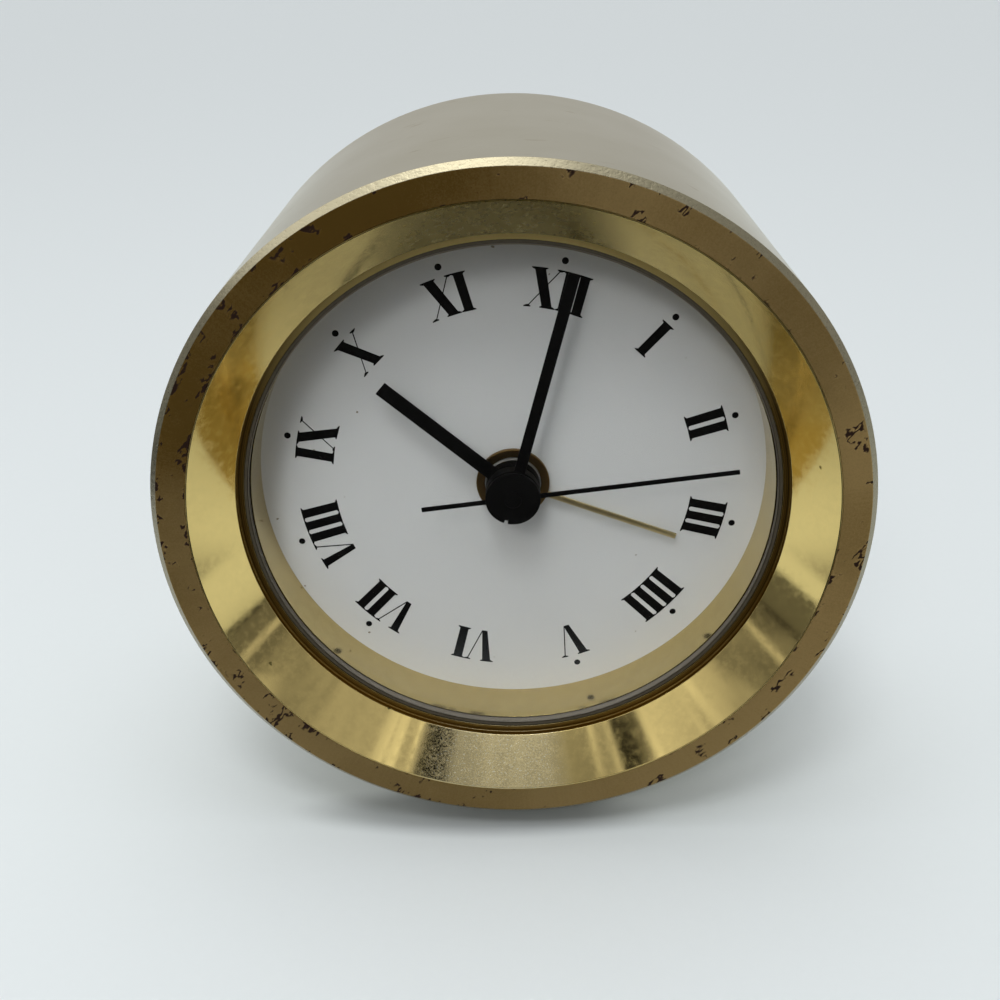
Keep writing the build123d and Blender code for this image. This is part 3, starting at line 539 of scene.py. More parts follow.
@finish
def ink(place, colours):
    """Printed black ink."""
    grain = place.noise(6000.0)
    tints = colours.ink, toned(colours.ink, 1.8)
    return blended(grain, *tints, 0.5 + 0.15 * grain, Specular_IOR_Level=0.04)


@finish
def hand_paint(place, colours):
    """Black lacquer of the hands."""
    grain = place.noise(4200.0)
    tints = colours.hand, toned(colours.hand, 1.6)
    return blended(grain, *tints, 0.4 + 0.1 * grain, 0.003 * MM, Specular_IOR_Level=0.04)


@finish
def alarm_gold(place, tint):
    """Stamped gold-coloured metal of the alarm hand."""
    brushed = place.noise(3800.0)
    return blended(brushed, toned(tint, 0.8), tint, 0.26 + 0.16 * brushed, 0.004 * MM, Metallic=1.0)


# Finishes of the rear and the movement

WIRE = 0.05 * MM
SHOULDER_START, SHOULDER_FULL = 6.8 * MM, 7.0 * MM


@finish
def moulded(place, tint, rough):
    """Moulded plastic or rubber with a fine spark-eroded grain."""
    grain = place.noise(3200.0, 3.0, 0.6)
    tints = toned(tint, 0.88), toned(tint, 1.12)
    return blended(place.noise(110.0), *tints, rough + 0.12 * (grain - 0.5), Normal=grain.bump(0.010 * MM))


@finish
def worked_metal(place, tint, rough):
    """Stamped or turned metal with fine rubbing."""
    rubbing = place.stretched(1.0, 6.0, 1.0).noise(2400.0, 3.0)
    rough = rough + 0.15 * (rubbing - 0.5)
    return blended(rubbing, toned(tint, 0.85), tint, rough, 0.004 * MM, Metallic=1.0)


@finish
def wound_copper(place):
    """Enamelled copper wire, wound across the core."""
    across = place.part("X")
    wave = across.maths("PINGPONG", across, WIRE) / WIRE
    # Painted shade: the colour darkens into the grooves between turns of wire.
    tints = (0.20, 0.05, 0.015), (0.62, 0.22, 0.08)
    return blended(wave, *tints, 0.25 + 0.2 * (1 - wave), WIRE, Metallic=1.0)


@finish
def cell_wrap(place):
    """Wrap of the battery: a dark body and a copper-coloured shoulder."""
    shoulder = place.part("X").rise(SHOULDER_START, SHOULDER_FULL)
    tints = (0.02, 0.02, 0.022), (0.52, 0.24, 0.10)
    return blended(shoulder, *tints, 0.28 + 0.08 * place.noise(900.0), Metallic=0.9 * shoulder)


# Meshes

SHARP_EDGE = math.radians(40.0)
SMOOTH_DEGREES = 30.0
MOST_OF_EDGE = 0.4
VALID_FACES = 4
WELD = 1e-9


def put(name, data):
    """Puts a mesh, a lamp or a camera in the scene."""
    holder = bpy.data.objects.new(name, data)
    bpy.context.scene.collection.objects.link(holder)
    return holder


def add_piece(name, mesh, body, slot, *nodes):
    """Puts a mesh in the scene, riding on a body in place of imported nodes."""
    piece = put(name, mesh)
    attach(piece, body)
    if nodes:
        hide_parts(*nodes)


def dress(piece, material):
    """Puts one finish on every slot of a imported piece."""
    if not piece.material_slots:
        piece.data.materials.append(material)
    for slot in piece.material_slots:
        slot.material = material


def new_mesh(name, finishes):
    """An empty mesh, with its finishes."""
    mesh = bpy.data.meshes.new(name)
    for material in finishes:
        mesh.materials.append(material)
    return mesh


def mesh_of(name, vertices, faces, finishes):
    """A mesh from its corners and faces."""
    mesh = new_mesh(name, finishes)
    mesh.from_pydata(vertices, [], faces)
    return mesh


def mesh_from(name, shape, finishes):
    """A mesh from a worked shape."""
    mesh = new_mesh(name, finishes)
    shape.to_mesh(mesh)
    shape.free()
    return mesh


def face_outwards(mesh):
    """Turns every face of a closed mesh outwards."""
    shape = bmesh.new()
    shape.from_mesh(mesh)
    bmesh.ops.recalc_face_normals(shape, faces=shape.faces)
    shape.to_mesh(mesh)
    shape.free()


def smooth_by_angle(mesh, degrees=SMOOTH_DEGREES):
    """Smooth shading, except over edges sharper than an angle."""
    for polygon in mesh.polygons:
        polygon.use_smooth = True
    mesh.set_sharp_from_angle(angle=math.radians(degrees))


def turns(steps):
    """Even steps of a full turn."""
    return [FULL_TURN * step / steps for step in range(steps)]


def on_dial(across, up, turn):
    """A place on the dial, drawn upright at twelve and turned clockwise."""
    sine, cosine = math.sin(turn), math.cos(turn)
    return across * cosine + up * sine, up * cosine - across * sine


def square_section(ring, finish_number=0):
    """The four corners of a plain ring, with one finish."""
    inner, outer, front, back = ring
    corners = (inner, front), (outer, front), (outer, back), (inner, back)
    return [(*corner, finish_number) for corner in corners]


def round_corners(corners, rounding, arc_steps=4):
    """Points of a closed profile with its corners rounded, each with the way that it faces and its finish."""
    places = [Vector((radius, depth)) for radius, depth, _ in corners]
    nexts = places[1:] + places[:1]
    area = sum(here.x * there.y - there.x * here.y for here, there in zip(places, nexts))
    sign = 1.0 if area > 0 else -1.0
    points = []
    for index, (at, after) in enumerate(zip(places, nexts)):
        inward = at - places[index - 1]
        outward = after - at
        reach = min(rounding, MOST_OF_EDGE * inward.length, MOST_OF_EDGE * outward.length)
        first = at - inward.normalized() * reach
        last = at + outward.normalized() * reach
        first_face = Vector((inward.y, -inward.x)).normalized() * sign
        last_face = Vector((outward.y, -outward.x)).normalized() * sign
        for step in range(arc_steps + 1):
            share = step / arc_steps
            curve = first * (1 - share) ** 2 + at * 2 * share * (1 - share) + last * share**2
            facing = (first_face * (1 - share) + last_face * share).normalized()
            points.append((curve, facing, corners[index - 1 if share < 0.5 else index][2]))
    return points


def lathe(name, corners, finishes, rounding, steps):
    """A turned ring about the hand axis, with exact normals. A corner is a radius, a depth and a finish."""
    points = round_corners(corners, rounding)
    vertices = []
    normals = []
    for turn in turns(steps):
        across, up = math.sin(turn), math.cos(turn)
        for at, facing, _ in points:
            vertices.append((at.x * across, FRONT + at.y, AXIS_HEIGHT + at.x * up))
            normals.append((facing.x * across, facing.y, facing.x * up))
    count = len(points)
    faces = []
    for step in range(steps):
        here = step * count
        there = (step + 1) % steps * count
        for index in range(count):
            after = (index + 1) % count
            faces.append((here + index, here + after, there + after, there + index))
    mesh = mesh_of(name, vertices, faces, finishes)
    for number, polygon in enumerate(mesh.polygons):
        polygon.material_index = points[number % count][2]
        polygon.use_smooth = True
    face_outwards(mesh)
    mesh.normals_split_custom_set_from_vertices(normals)
    return mesh


def disc(name, profile, finishes, steps):
    """A turned piece that reaches the hand axis, from radii and depths between its two poles.

    The last finish goes round its edge.
    """
    vertices = [(0.0, FRONT + profile[0][1], AXIS_HEIGHT), (0.0, FRONT + profile[-1][1], AXIS_HEIGHT)]
    rings = profile[1:-1]
    for turn in turns(steps):
        for radius, depth in rings:
            vertices.append((radius * math.sin(turn), FRONT + depth, AXIS_HEIGHT + radius * math.cos(turn)))
    count = len(rings)
    faces = []
    for step in range(steps):
        here = 2 + step * count
        there = 2 + (step + 1) % steps * count
        faces.append((0, here, there))
        faces.append((1, there + count - 1, here + count - 1))
        for index in range(count - 1):
            faces.append((here + index, here + index + 1, there + index + 1, there + index))
    mesh = mesh_of(name, vertices, faces, finishes)
    for number, polygon in enumerate(mesh.polygons):
        polygon.material_index = len(finishes) - 1 if number % (count + 1) > 1 else 0
    face_outwards(mesh)
    return mesh


def loft(name, rings, material, degrees=SMOOTH_DEGREES):
    """A skin over rings of points, closed by a flat face at each end."""
    shape = bmesh.new()
    rings = [[shape.verts.new(point) for point in ring] for ring in rings]
    for lower, upper in zip(rings, rings[1:]):
        for step in range(len(lower)):
            after = (step + 1) % len(lower)
            shape.faces.new((lower[step], lower[after], upper[after], upper[step]))
    shape.faces.new(rings[0][::-1])
    shape.faces.new(rings[-1])
    bmesh.ops.recalc_face_normals(shape, faces=shape.faces)
    mesh = mesh_from(name, shape, [material])
    smooth_by_angle(mesh, degrees)
    return mesh


def anticlockwise(polygon):
    """An outline, turned anticlockwise."""
    pairs = zip(polygon, polygon[1:] + polygon[:1])
    area = sum(here[0] * there[1] - there[0] * here[1] for here, there in pairs)
    return polygon if area > 0 else polygon[::-1]


def slab(name, polygons, front, back, finishes, bevel=0.0):
    """Flat outlines, joined where they overlap and given thickness between two depths."""
    corners = []
    faces = []
    for polygon in polygons:
        faces.append(list(range(len(corners), len(corners) + len(polygon))))
        corners.extend(Vector(corner) for corner in anticlockwise(polygon))
    places, _, flats, _, _, origins = delaunay_2d_cdt(corners, [], faces, VALID_FACES, WELD)
    shape = bmesh.new()
    made = [shape.verts.new((place.x, FRONT + front, AXIS_HEIGHT + place.y)) for place in places]
    for flat, origin in zip(flats, origins):
        if origin:
            shape.faces.new([made[index] for index in flat])
    loose = [vertex for vertex in shape.verts if not vertex.link_faces]
    bmesh.ops.delete(shape, geom=loose, context="VERTS")
    flat_edges = [edge for edge in shape.edges if len(edge.link_faces) == 2]
    bmesh.ops.dissolve_edges(shape, edges=flat_edges, use_verts=False)
    grown = bmesh.ops.extrude_face_region(shape, geom=shape.faces[:])
    moved = [item for item in grown["geom"] if isinstance(item, bmesh.types.BMVert)]
    bmesh.ops.translate(shape, verts=moved, vec=(0.0, back - front, 0.0))
    bmesh.ops.recalc_face_normals(shape, faces=shape.faces)
    if bevel > 0.0:
        sharp = [edge for edge in shape.edges if edge.calc_face_angle(0.0) > SHARP_EDGE]
        bmesh.ops.bevel(shape, geom=sharp, offset=bevel, segments=2, profile=0.5, affect="EDGES")
    return mesh_from(name, shape, finishes)


def joined(name, meshes):
    """Several meshes as one, with the finishes of the first."""
    shape = bmesh.new()
    for mesh in meshes:
        shape.from_mesh(mesh)
    return mesh_from(name, shape, meshes[0].materials)


# Operators, one for each piece or group of like pieces

LAND_LIFT = 0.1 * MM


class CLOCK_OT_case(bpy.types.Operator):
    """Turned brass drum of the case."""

    bl_idname = "clock.case"
    bl_label = "Case"

    def execute(self, context):
        sizes = context.scene.clock_sizes
        colours = context.scene.clock_finish
        case = ring_of("case_body")
        seat = ring_of("bezel").outer + sizes.fit
        face, edge, side, bore = range(4)
        corners = (
            (seat, 0.0, face),
            (case.outer - sizes.front_chamfer, 0.0, edge),
            (case.outer, sizes.front_chamfer, side),
            (case.outer, case.back - sizes.rear_chamfer, edge),
            (case.outer - sizes.rear_chamfer, case.back, face),
            (case.inner, case.back, bore),
            (case.inner, sizes.bezel_seat, bore),
            (seat, sizes.bezel_seat, bore),
        )
        turned = [make(colours) for make in (chamfer_brass, satin_brass, bore_brass)]
        finishes = [face_brass(colours, sizes), *turned]
        mesh = lathe("case", corners, finishes, sizes.rounding, sizes.steps)
        add_piece("case", mesh, "clock", "case_brass", "case_body")
        return {"FINISHED"}


class CLOCK_OT_bezel(bpy.types.Operator):
    """Polished brass cone, pressed in the front of the case."""

    bl_idname = "clock.bezel"
    bl_label = "Bezel"

    def execute(self, context):
        sizes = context.scene.clock_sizes
        colours = context.scene.clock_finish
        bezel = ring_of("bezel")
        glass = ring_of("crystal")
        housing = ring_of("dial_ring").outer + sizes.fit
        skirt = ring_of("case_body").inner - sizes.bezel_edge
        land_depth = glass.front - LAND_LIFT
        cone, land = range(2)
        corners = (
            (bezel.outer - sizes.bezel_edge, 0.0, cone),
            (bezel.outer, 0.0, cone),
            (bezel.outer, sizes.bezel_seat, cone),
            (skirt, sizes.bezel_seat, cone),
            (skirt, bezel.back, cone),
            (housing, bezel.back, cone),
            (housing, glass.back, cone),
            (bezel.inner, glass.back, cone),
            (bezel.inner, land_depth, land),
            (bezel.inner + sizes.land, land_depth, cone),
            (bezel.inner + sizes.land, land_depth - sizes.land_step, cone),
        )
        finishes = (polished_brass(colours), dull_land(colours))
        mesh = lathe("bezel_cone", corners, finishes, sizes.rounding, sizes.steps)
        add_piece("bezel_cone", mesh, "clock", "bezel_brass", "bezel")
        return {"FINISHED"}


class CLOCK_OT_glass(bpy.types.Operator):
    """Flat glass and the nylon ring that holds it."""

    bl_idname = "clock.glass"
    bl_label = "Glass"

    def execute(self, context):
        sizes = context.scene.clock_sizes
        glass = ring_of("crystal")
        profile = (
            (0.0, glass.front),
            (glass.outer - sizes.glass_bevel, glass.front),
            (glass.outer, glass.front + sizes.glass_bevel),
            (glass.outer, glass.back),
            (0.0, glass.back),
        )
        pane = disc("glass_pane", profile, (clear_glass(), ground_glass()), sizes.steps)
        smooth_by_angle(pane)
        add_piece("glass_pane", pane, "clock", "crystal_glass", "crystal")
        section = square_section(ring_of("crystal_gasket"))
        mesh = lathe("glass_ring", section, [grey_nylon()], sizes.rounding, sizes.steps)
        add_piece("glass_ring", mesh, "clock", "gasket_nylon", "crystal_gasket")
        return {"FINISHED"}


class CLOCK_OT_dial(bpy.types.Operator):
    """White dial and the gold wall round it."""

    bl_idname = "clock.dial"
    bl_label = "Dial"

    def execute(self, context):
        sizes = context.scene.clock_sizes
        colours = context.scene.clock_finish
        for name, node, slot, material in (
            ("dial_plate", "dial", "dial_white", dial_paint(colours)),
            ("dial_wall", "dial_ring", "dial_ring_gold", wall_gold(colours)),
        ):
            mesh = lathe(name, square_section(ring_of(node)), [material], sizes.fit, sizes.steps)
            add_piece(name, mesh, "clock", slot, node)
        return {"FINISHED"}


# Roman numerals, drawn upright in millimetres from the middle of the foot line of each letter

NUMERALS = ("XII", "I", "II", "III", "IIII", "V", "VI", "VII", "VIII", "IX", "X", "XI")
NO_DOT = "VI"
HOUR_TURN = FULL_TURN / len(NUMERALS)
DOT_STEPS = 32
NUMERAL_HEIGHT = 4.38
HALF_SPACES = {"I": 0.80, "V": 1.60, "X": 1.73}
BAR_HALF = 0.535
HAIR_HALF = 0.07
SERIF_THICK = 0.11
SERIF_BRACKET = 0.26
SERIF_REACH = 0.28
HAIR_SERIF_REACH = 0.33
NUMERAL_TAPER = 0.05


def stroke(foot, head, foot_half, head_half):
    """A straight stroke from the foot line to the head line."""
    lower = [(foot - foot_half, 0.0), (foot + foot_half, 0.0)]
    return lower + [(head + head_half, NUMERAL_HEIGHT), (head - head_half, NUMERAL_HEIGHT)]


def serif(middle, half, reach, top):
    """A thin serif at one end of a stroke, with its bracket."""
    outline = [
        (middle - half - reach, 0.0),
        (middle + half + reach, 0.0),
        (middle + half + reach, SERIF_THICK),
        (middle + half, SERIF_BRACKET),
        (middle - half, SERIF_BRACKET),
        (middle - half - reach, SERIF_THICK),
    ]
    if not top:
        return outline
    return [(across, NUMERAL_HEIGHT - up) for across, up in reversed(outline)]


def letter_i(middle):
    """An upright bar."""
    return [
        stroke(middle, middle, BAR_HALF, BAR_HALF),
        serif(middle, BAR_HALF, SERIF_REACH, True),
        serif(middle, BAR_HALF, SERIF_REACH, False),
    ]


def letter_v(middle):
    """A thick stroke and a hairline that meet at the foot."""
    thick_head, thick_half = middle - 1.2, 0.50
    vertex, vertex_half = middle - 0.2, 0.34
    hair_head = middle + 1.2
    return [
        stroke(vertex, thick_head, vertex_half, thick_half),
        stroke(vertex + vertex_half - HAIR_HALF, hair_head, HAIR_HALF, HAIR_HALF),
        serif(thick_head, thick_half, SERIF_REACH, True),
        serif(hair_head, HAIR_HALF, HAIR_SERIF_REACH, True),
    ]


def letter_x(middle):
    """A thick stroke and a hairline that cross."""
    lean, thick_half, hair_lean = 0.815, 0.585, 1.45
    return [
        stroke(middle + lean, middle - lean, thick_half, thick_half),
        stroke(middle - hair_lean, middle + hair_lean, HAIR_HALF, HAIR_HALF),
        serif(middle - lean, thick_half, SERIF_REACH, True),
        serif(middle + lean, thick_half, SERIF_REACH, False),
        serif(middle + hair_lean, HAIR_HALF, HAIR_SERIF_REACH, True),
        serif(middle - hair_lean, HAIR_HALF, HAIR_SERIF_REACH, False),
    ]


LETTERS = {"I": letter_i, "V": letter_v, "X": letter_x}


class CLOCK_OT_numerals(bpy.types.Operator):
    """Roman numerals and hour dots, printed on the dial."""

    bl_idname = "clock.numerals"
    bl_label = "Numerals"

    def execute(self, context):
        sizes = context.scene.clock_sizes
        black = ink(context.scene.clock_finish)
        surface = ring_of("dial").front
        depths = surface - sizes.print_rise, surface + sizes.print_rise
        numerals = []
        dots = []
        for hour, numeral in enumerate(NUMERALS):
            turn = sizes.print_turn + hour * HOUR_TURN
            numerals.append(slab("numeral", self.outlines(numeral, turn, sizes), *depths, [black]))
            if numeral != NO_DOT:
                dots.append(self.dot(turn, sizes))
        add_piece("numerals", joined("numerals", numerals), "clock", "hand_black")
        add_piece("hour_dots", slab("hour_dots", dots, *depths, [black]), "clock", "hand_black")
        return {"FINISHED"}

    def outlines(self, numeral, turn, sizes):
        """The strokes of a numeral, bent to the round of the dial."""
        scale = sizes.numeral_height / NUMERAL_HEIGHT
        polygons = []
        middle = -sum(HALF_SPACES[letter] for letter in numeral)
        for letter in numeral:
            middle += HALF_SPACES[letter]
            for outline in LETTERS[letter](middle):
                bent = []
                for across, up in outline:
                    side = across * scale * (1 - NUMERAL_TAPER * (1 - up / NUMERAL_HEIGHT))
                    radius = sizes.numeral_foot + up * scale
                    bent.append(on_dial(side, math.sqrt(radius**2 - side**2), turn))
                polygons.append(bent)
            middle += HALF_SPACES[letter]
        return polygons

    def dot(self, turn, sizes):
        """The round outline of an hour dot."""
        across, up = on_dial(0.0, sizes.dot_circle, turn)
        radius = sizes.dot_radius
        return [(across + radius * math.cos(step), up + radius * math.sin(step)) for step in turns(DOT_STEPS)]


# Edges of the hands, and the cap of the second hand: its raised middle and the notch in its rim

HAND_BEVEL = 0.04 * MM
HUB_ROUNDING = 0.12 * MM
HUB_OVERLAP = 0.93
CAP_BEVEL = 0.10 * MM
CAP_OVERLAP = 0.95
CAP_STEPS = 160
DOME_RISE = 0.2 * MM
DOME_RADIUS = 1.0 * MM
DOME_STEPS = 64
NOTCH_WIDTH = 0.4 * MM
NOTCH_DEPTH = 0.6 * MM
NOTCH_TURN = math.radians(195.0)


class CLOCK_OT_hands(bpy.types.Operator):
    """The four hands, each with its boss."""

    bl_idname = "clock.hands"
    bl_label = "Hands"

    def execute(self, context):
        sizes = context.scene.clock_sizes
        colours = context.scene.clock_finish
        black = hand_paint(colours)
        gold = alarm_gold(colours.alarm)
        # Painted shade: the boss of the alarm hand is a darkened copy of its gold.
        shaded_gold = alarm_gold(colours.alarm_boss_painted_shade, name="alarm_boss_shaded_gold")
        for node, materials, slot in (
            ("minute_hand", [black, black], "hand_black"),
            ("hour_hand", [black, black], "hand_black"),
            ("alarm_hand", [gold, shaded_gold], "alarm_hand_gold"),
        ):
            self.make_hand(node, materials, slot, sizes)
        self.make_second_hand("second_hand", black)
        return {"FINISHED"}

    def blade(self, node, blade, start, end, material):
        """A straight hand between two distances from the axis."""
        half = blade.width / 2
        outline = [(-half, start), (half, start), (half, end), (-half, end)]
        turned = [on_dial(across, up, blade.angle) for across, up in outline]
        return slab(node, [turned], blade.front, blade.back, [material], bevel=HAND_BEVEL)

    def make_hand(self, node, materials, slot, sizes):
        """A straight hand, with the finishes of its blade and its boss."""
        blade = blade_of(node)
        boss = ring_of(node)._replace(outer=blade.tail)
        hub = lathe(node, square_section(boss, 1), materials, HUB_ROUNDING, sizes.steps // 2)
        arm = self.blade(node, blade, HUB_OVERLAP * boss.outer, blade.length, materials[0])
        mesh = joined(node + "_piece", [hub, arm])
        smooth_by_angle(mesh)
        add_piece(node + "_piece", mesh, node, slot, node)

    def make_second_hand(self, node, material):
        """A thin hand with a tail, on a round cap."""
        blade = blade_of(node)
        whole = ring_of(node)
        radius = blade_of("minute_hand").tail
        front = whole.front + DOME_RISE
        gap = NOTCH_WIDTH / 2 / radius
        arc = (FULL_TURN - 2 * gap) / CAP_STEPS
        rim = [on_dial(0.0, radius, NOTCH_TURN + gap + arc * step) for step in range(CAP_STEPS + 1)]
        rim += [on_dial(side * NOTCH_WIDTH / 2, radius - NOTCH_DEPTH, NOTCH_TURN) for side in (-1, 1)]
        plate = slab(node, [rim], front, whole.back, [material], bevel=CAP_BEVEL)
        profile = (
            (0.0, whole.front),
            (0.75 * DOME_RADIUS, whole.front + 0.05 * DOME_RISE),
            (0.92 * DOME_RADIUS, whole.front + 0.35 * DOME_RISE),
            (DOME_RADIUS, front),
            (DOME_RADIUS, front + DOME_RISE),
            (0.0, front + DOME_RISE),
        )
        dome = disc(node, profile, [material], DOME_STEPS)
        tip = self.blade(node, blade, CAP_OVERLAP * radius, blade.length, material)
        tail = self.blade(node, blade, -blade.tail, -CAP_OVERLAP * radius, material)
        mesh = joined("second_hand_piece", [plate, dome, tip, tail])
        smooth_by_angle(mesh)
        add_piece("second_hand_piece", mesh, node, "hand_black", node)


FOOT_EDGE = 0.7 * MM
FOOT_ARC_STEPS = 6
FOOT_STEPS = 72


class CLOCK_OT_feet(bpy.types.Operator):
    """Four round rubber feet, stuck on under the belly."""

    bl_idname = "clock.feet"
    bl_label = "Feet"

    def execute(self, context):
        rubber = moulded(context.scene.clock_finish.rubber, 0.62, name="foot_rubber")
        belly = ring_of("case_body").outer
        for end in ("front", "rear"):
            for side in ("left", "right"):
                self.make_foot(f"foot_{end}_{side}", belly, rubber)
        return {"FINISHED"}

    def make_foot(self, node, belly, rubber):
        """A pad with a rounded lower edge, whose top follows the belly of the case."""
        low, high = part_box(node)
        middle = (low + high) / 2
        radius = (high.x - low.x) / 2
        rings = []
        for step in range(FOOT_ARC_STEPS + 1):
            turn = math.radians(90.0 * step / FOOT_ARC_STEPS)
            distance = radius - FOOT_EDGE + FOOT_EDGE * math.sin(turn)
            height = low.z + FOOT_EDGE - FOOT_EDGE * math.cos(turn)
            rings.append([
                (middle.x + distance * math.cos(around), middle.y + distance * math.sin(around), height)
                for around in turns(FOOT_STEPS)
            ])
        rings.append([
            (across, deep, AXIS_HEIGHT - math.sqrt(belly**2 - across**2)) for across, deep, _ in rings[-1]
        ])
        add_piece(node + "_piece", loft(node, rings, rubber), "clock", "foot_rubber", node)


KNOB_FLUTES = 20
KNOB_STEPS = 200
KNOB_GROOVE = 0.3 * MM
KNOB_FOOT = 0.3 * MM
KNOB_EDGE = 0.6 * MM
KNOB_EDGE_STEPS = 4
KNOB_DISH = 0.35 * MM
KNOB_SMOOTH = 35.0


class CLOCK_OT_knobs(bpy.types.Operator):
    """Fluted setting knobs at the rear."""

    bl_idname = "clock.knobs"
    bl_label = "Knobs"

    def execute(self, context):
        plastic = moulded(context.scene.clock_finish.moulding, 0.42, name="knob_plastic")
        for node, body in (("time_set_knob", "time_knob"), ("alarm_set_knob", "alarm_knob")):
            self.make_knob(node, body, plastic)
        return {"FINISHED"}

    def profile(self, radius, end):
        """Rings of a knob from front to rear: share of its radius, depth and share of the flutes."""
        rings = [(0.93, 0.0, 0.3), (1.0, KNOB_FOOT, 1.0), (1.0, end - KNOB_EDGE, 1.0)]
        for step in range(1, KNOB_EDGE_STEPS + 1):
            turn = math.radians(90.0 * step / KNOB_EDGE_STEPS)
            inset = KNOB_EDGE / radius * (1 - math.cos(turn))
            depth = end - KNOB_EDGE + KNOB_EDGE * math.sin(turn)
            rings.append((1.0 - inset, depth, 1.0 - step / KNOB_EDGE_STEPS))
        return rings + [(0.62, end, 0.0), (0.5, end - KNOB_DISH, 0.0)]

    def make_knob(self, node, body, plastic):
        """A knob with flutes round it and a dished end."""
        low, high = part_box(node)
        middle = (low + high) / 2
        radius = (high.x - low.x) / 2
        rings = []
        for share, depth, fluted in self.profile(radius, high.y - low.y):
            ring = []
            for turn in turns(KNOB_STEPS):
                wave = 0.5 - 0.5 * math.cos(KNOB_FLUTES * turn)
                across, up = on_dial(0.0, share * radius - KNOB_GROOVE * wave * fluted, turn)
                ring.append((middle.x + across, low.y + depth, middle.z + up))
            rings.append(ring)
        add_piece(node + "_piece", loft(node, rings, plastic, KNOB_SMOOTH), body, "black_plastic", node)


MOULDED_EDGE = math.radians(50.0)


class CLOCK_OT_rear(bpy.types.Operator):
    """Rear cover, its door, switch and screws, with their moulded edges."""

    bl_idname = "clock.rear"
    bl_label = "Rear"

    def execute(self, context):
        black = context.scene.clock_finish.moulding
        for node, material, width in (
            ("rear_cover", moulded(black, 0.46, name="cover_plastic"), 0.15),
            ("battery_door", moulded(toned(black, 1.25), 0.44, name="door_plastic"), 0.15),
            ("alarm_switch", moulded((0.55, 0.53, 0.48), 0.42, name="switch_plastic"), 0.2),
            ("rear_cover_screws", worked_metal((0.56, 0.55, 0.52), 0.3, name="screw_steel"), 0.1),
        ):
            self.soften(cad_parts[node], material, width * MM)
        return {"FINISHED"}

    def soften(self, piece, material, width):
        """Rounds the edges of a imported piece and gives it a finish."""
        dress(piece, material)
        bevel = piece.modifiers.new("edges", "BEVEL")
        bevel.width = width
        bevel.segments = 2
        bevel.limit_method = "ANGLE"
        bevel.angle_limit = MOULDED_EDGE
        bevel.use_clamp_overlap = True


CELL_STEPS = 96
CELL_NUB = 2.0 * MM
CELL_NUB_LONG = 1.2 * MM
CELL_CRIMP = 0.5 * MM


class CLOCK_OT_movement(bpy.types.Operator):
    """Finishes of the quartz movement and its housing."""

    bl_idname = "clock.movement"
    bl_label = "Movement"

    def execute(self, context):
        rubber = context.scene.clock_finish.rubber
        white_nodes = ("second_wheel", "third_wheel", "intermediate_wheel", "minute_wheel", "centre_wheel")
        contacts = ("battery_contact_positive", "battery_contact_negative", "alarm_contact_spring")
        plastics = (
            ("housing_plastic", (0.16, 0.16, 0.165), 0.5, ("insert_housing", "middle_plate", "rear_plate")),
            ("wheel_plastic", (0.72, 0.71, 0.66), 0.4, (*white_nodes, "time_set_stem", "alarm_set_stem")),
            ("pipe_plastic", (0.26, 0.25, 0.23), 0.4, ("hour_wheel", "alarm_wheel")),
            ("ring_rubber", rubber, 0.66, ("retaining_ring",)),
            ("chip_resin", (0.012, 0.012, 0.012), 0.35, ("circuit_chip", "sounder")),
            ("board_brown", (0.17, 0.085, 0.03), 0.5, ("circuit_board",)),
        )
        metals = (
            ("plate_steel", (0.52, 0.52, 0.5), 0.32, ("stator", "coil_core", "plate_screws", "quartz_can")),
            ("contact_nickel", (0.66, 0.63, 0.57), 0.28, contacts),
            ("wheel_brass", (0.72, 0.55, 0.22), 0.3, ("cannon_pinion", "rotor_pinion")),
            ("magnet_dark", (0.09, 0.09, 0.095), 0.45, ("rotor_magnet",)),
        )
        for make, rows in ((moulded, plastics), (worked_metal, metals)):
            for name, tint, rough, nodes in rows:
                material = make(tint, rough, name=name)
                for node in nodes:
                    dress(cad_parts[node], material)
        dress(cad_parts["coil"], wound_copper())
        self.make_cell()
        return {"FINISHED"}

    def make_cell(self):
        """The cell in its trough, with a rolled shoulder and a nub."""
        low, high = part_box("battery")
        middle = (low + high) / 2
        radius = (high.z - low.z) / 2
        can = high.x - CELL_NUB_LONG
        roll, shoulder, rim = 0.3 * CELL_CRIMP, radius - 0.4 * CELL_CRIMP, radius - 2 * CELL_CRIMP
        profile = (
            (low.x, rim),
            (low.x + roll, shoulder),
            (low.x + CELL_CRIMP, radius),
            (can - CELL_CRIMP, radius),
            (can - roll, shoulder),
            (can, rim),
            (can, CELL_NUB),
            (high.x - roll, CELL_NUB),
            (high.x, CELL_NUB - roll),
        )
        rings = []
        for along, distance in profile:
            rings.append([
                (along, middle.y + distance * math.cos(turn), middle.z + distance * math.sin(turn))
                for turn in turns(CELL_STEPS)
            ])
        add_piece("cell", loft("cell", rings, cell_wrap()), "clock", "battery_wrap", "battery")


# The stage. The paper is painted dark for reflections beyond its near and left edges, and has a painted
# shadow under the front edge.

KEY_LAMP = Lamp("key_lamp", (-0.16, -0.52, 0.40), 0.13, (1.0, 0.99, 0.97))
TOP_LAMP = Lamp("top_lamp", (-0.05, -0.24, 0.44), 0.12, (0.97, 0.99, 1.0))
SKY_TINT = (0.97, 0.985, 1.0)
BACKDROP_TINT = (0.68, 0.72, 0.73)
SENSOR_WIDTH = 36.0
CLIP_START = 0.01
FLOOR_REACH = 4.0
PAINTED_SHADOW_MIDDLE = (-4.0 * MM, FRONT + 3.0 * MM, 0.0)
PAINTED_SHADOW_ACROSS = 21.0 * MM
PAINTED_SHADOW_DEEP = 4.4 * MM
FLOOR_NEAR = (-0.30, -0.22)
LEFT_FAR = (0.04, 0.08)
LEFT_FADE = 5.0 * MM


